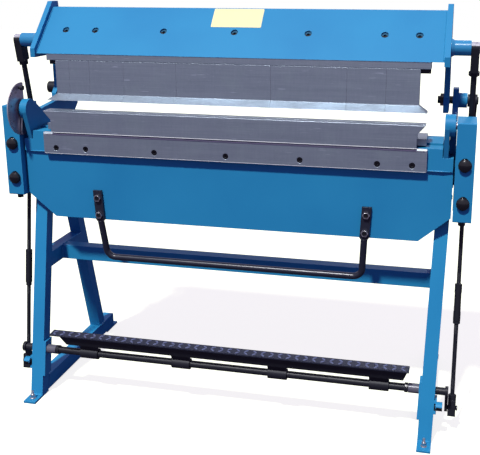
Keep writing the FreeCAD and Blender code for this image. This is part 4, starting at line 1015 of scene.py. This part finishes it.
class FOLDER_OT_bottom_rails(bpy.types.Operator):
    """Cut the bottom rails back to the leaning front legs"""
    bl_idname = "folder.bottom_rails"
    bl_label = "Bottom rails"

    def execute(self, context):
        for name in ("right", "left"):
            leg = frame["nodes"]["front_leg_" + name].data
            high = max(v.co.z for v in leg.vertices)
            top = [v.co.y for v in leg.vertices if v.co.z > high - LEG_TOP]
            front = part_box("bottom_rail_" + name)[0].y
            rear_foot = Vector((0.0, front + max(top) - min(top), 0.0))
            lean = Vector((0.0, max(top), high)) - rear_foot
            shape = cad_copy("bottom_rail_" + name)
            normal = towards(lean.cross(X_AXIS).normalized(), Y_AXIS)
            gap = cut(shape, rear_foot, normal, clear_inner=True)
            bmesh.ops.bridge_loops(shape, edges=gap)
            made = piece("bottom_rail_cut_" + name, shape, "blue", "frame")
            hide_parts("bottom_rail_" + name)
        return {"FINISHED"}


class FOLDER_OT_pedal_bar(bpy.types.Operator):
    """Fold the pedal bar from tread plate with raised ribs"""
    bl_idname = "folder.pedal_bar"
    bl_label = "Pedal bar"

    def execute(self, context):
        sizes = context.scene.folder_sizes
        low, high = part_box("pedal_tread")
        back = Vector((0.0, high.y - TREAD_BACK[0], high.z - TREAD_BACK[1]))
        front = Vector((0.0, low.y + TREAD_FRONT, high.z - sizes.tread_fall))
        slope = (front - back).normalized()
        up = towards(X_AXIS.cross(slope), Z_AXIS)
        thickness = sizes.tread_thick
        inner = back + slope * thickness
        drop = up * thickness
        outline = [back, front, front - drop, inner - drop, inner - up * LIP, back - up * LIP]
        shape = self.bar(outline, [(low.x, high.x)] * len(outline))
        made = piece("pedal_bar", shape, "plate_steel", "pedal")
        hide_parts("pedal_tread")
        self.web(low, high, front - slope * WEB_INSET - drop, thickness)
        self.ribs(low, high, (back + front) / 2.0, slope, up, sizes.rib_pitch)
        return {"FINISHED"}

    def web(self, low, high, top, thickness):
        """The slanted web under the bar, shorter at its foot."""
        foot = Vector((0.0, low.y + WEB_FOOT, low.z))
        through = towards(X_AXIS.cross((top - foot).normalized()), Y_AXIS) * thickness
        ends_top = (low.x + WEB_TOP_ENDS[0], high.x - WEB_TOP_ENDS[1])
        ends_low = (low.x + WEB_LOW_ENDS[0], high.x - WEB_LOW_ENDS[1])
        outline = [top, foot, foot + through, top + through]
        shape = self.bar(outline, [ends_top, ends_low, ends_low, ends_top])
        piece("pedal_web", shape, "black", "pedal")

    def ribs(self, low, high, middle, slope, up, pitch):
        """Two rows of short ribs that lean in turn to one side and to the other."""
        shape = bmesh.new()
        turn = basis(X_AXIS, -slope, up)
        flat = Matrix.Diagonal((pitch * RIB_HALF_LENGTH, RIB_HALF_WIDTH, RIB_HALF_HEIGHT, 1.0))
        for place in range(int((high.x - low.x) / pitch)):
            for row in (-1.0, 1.0):
                x = low.x + pitch * (place + 0.5)
                spot = Vector((x, 0.0, 0.0)) + middle + slope * RIB_ROW * row
                angle = RIB_ANGLE * (1 if place % 2 else -1) * row
                lie = Matrix.Translation(spot) @ turn @ Matrix.Rotation(angle, 4, "Z")
                bmesh.ops.create_cone(shape, cap_ends=True, segments=8, radius1=1.0,
                                      radius2=RIB_CROWN, depth=2.0, matrix=lie @ flat)
        piece("pedal_ribs", shape, "rib", "pedal")

    def bar(self, outline, ends):
        """A softened bar along X through an outline, each corner with its own two ends."""
        shape = bmesh.new()
        rings = []
        for side in (0, 1):
            corners = [Vector((pair[side], point.y, point.z)) for pair, point in zip(ends, outline)]
            rings.append([bmesh.ops.create_vert(shape, co=co)["vert"][0] for co in corners])
        shape.faces.new(rings[0])
        shape.faces.new(rings[1][::-1])
        for i in range(len(outline)):
            j = (i + 1) % len(outline)
            shape.faces.new((rings[0][j], rings[0][i], rings[1][i], rings[1][j]))
        soften(shape, FOLD_EDGE)
        return shape


class FOLDER_OT_stage(bpy.types.Operator):
    """Set the floor, the lights and the camera"""
    bl_idname = "folder.stage"
    bl_label = "Stage"

    def execute(self, context):
        stage = context.scene.folder_stage
        self.floor(context.scene, stage)
        self.lights(context.scene, stage)
        self.room(context.scene, stage)
        self.camera(context.scene, stage)
        context.scene.view_settings.view_transform = "Standard"
        return {"FINISHED"}

    def floor(self, scene, stage):
        shape = bmesh.new()
        bmesh.ops.create_grid(shape, x_segments=1, y_segments=1, size=FLOOR_HALF)
        bmesh.ops.translate(shape, vec=(0.0, 0.0, -FLOOR_DROP), verts=shape.verts)
        mesh = bpy.data.meshes.new("floor")
        shape.to_mesh(mesh)
        shape.free()
        floor = bpy.data.objects.new("floor", mesh)
        scene.collection.objects.link(floor)
        finish = Finish("pale_floor")
        seen = finish.node("ShaderNodeLightPath", {}, {})
        grain = finish.noise(30.0).between(0.2, 0.8) * 0.03
        base = finish.mix(stage.floor_bounce, stage.floor, seen * (0.97 + grain))
        glow = finish.mix((0.0, 0.0, 0.0), WHITE, seen)
        finish.set(Base_Color=base, Roughness=0.9, Specular_IOR_Level=0.0)
        finish.set(Emission_Color=glow, Emission_Strength=stage.floor_glow)
        mesh.materials.append(finish.material)

    def lights(self, scene, stage):
        for name, direction, strength in (("key_light", KEY_DIRECTION, stage.key),
                                          ("rear_light", REAR_DIRECTION, stage.rear)):
            data = bpy.data.lights.new(name, "SUN")
            data.energy = strength
            data.angle = stage.softness
            lamp = bpy.data.objects.new(name, data)
            lamp.matrix_world = aim((0.0, 0.0, 0.0), direction)
            scene.collection.objects.link(lamp)

    def room(self, scene, stage):
        """White for the camera and through glass, half white in reflections, tinted as light."""
        world = bpy.data.worlds.new("pale_room")
        scene.world = world
        world.use_nodes = True
        nodes = Nodes(world.node_tree)
        camera = nodes.node("ShaderNodeLightPath", {}, {})
        clear = camera.beside("Is Transmission Ray")
        glossy = camera.beside("Is Glossy Ray")
        seen = (camera + clear + glossy * ROOM_IN_GLOSS).between(0.0, 1.0)
        colour = nodes.mix(stage.sky, WHITE, seen)
        nodes.plug(nodes.tree.nodes["Background"].inputs["Color"], colour)

    def camera(self, scene, stage):
        data = bpy.data.cameras.new("photo_camera")
        data.sensor_width = SENSOR
        data.lens = stage.focal * 1000.0
        data.shift_x, data.shift_y = CAMERA_SHIFT
        data.clip_end = CAMERA_REACH
        camera = bpy.data.objects.new("photo_camera", data)
        camera.location = CAMERA_PLACE
        camera.rotation_euler = (math.radians(90.0 - CAMERA_DOWN), 0.0, math.radians(CAMERA_PAN))
        scene.collection.objects.link(camera)
        scene.camera = camera


class FOLDER_PT_panel(bpy.types.Panel):
    """Shows the folder's settings and steps in the sidebar"""
    bl_label = "Sheet folder"
    bl_idname = "FOLDER_PT_panel"
    bl_space_type = "VIEW_3D"
    bl_region_type = "UI"
    bl_category = "Folder"

    def draw(self, context):
        for group_name in GROUPS:
            group = getattr(context.scene, group_name)
            box = self.layout.box()
            for name in group.__annotations__:
                box.prop(group, name)
        for step in STEPS:
            self.layout.operator(step.bl_idname)


STEPS = (FOLDER_OT_finishes, FOLDER_OT_blank_plate, FOLDER_OT_dial_marks, FOLDER_OT_floor_bolts,
         FOLDER_OT_rod_threads, FOLDER_OT_welds, FOLDER_OT_pin_fittings, FOLDER_OT_ground_lands,
         FOLDER_OT_bottom_rails, FOLDER_OT_pedal_bar, FOLDER_OT_stage)
GROUPS = {"folder_colours": FolderColours, "folder_sizes": FolderSizes,
          "folder_stage": StageSettings}


def register():
    for kind in (*GROUPS.values(), *STEPS, FOLDER_PT_panel):
        bpy.utils.register_class(kind)
    for name, group in GROUPS.items():
        setattr(bpy.types.Scene, name, PointerProperty(type=group))


def unregister():
    for name in GROUPS:
        delattr(bpy.types.Scene, name)
    for kind in (FOLDER_PT_panel, *reversed(STEPS), *GROUPS.values()):
        bpy.utils.unregister_class(kind)


def main():
    register()
    for step in STEPS:
        area, call = step.bl_idname.split(".")
        getattr(getattr(bpy.ops, area), call)()


if __name__ == "__main__":
    main()
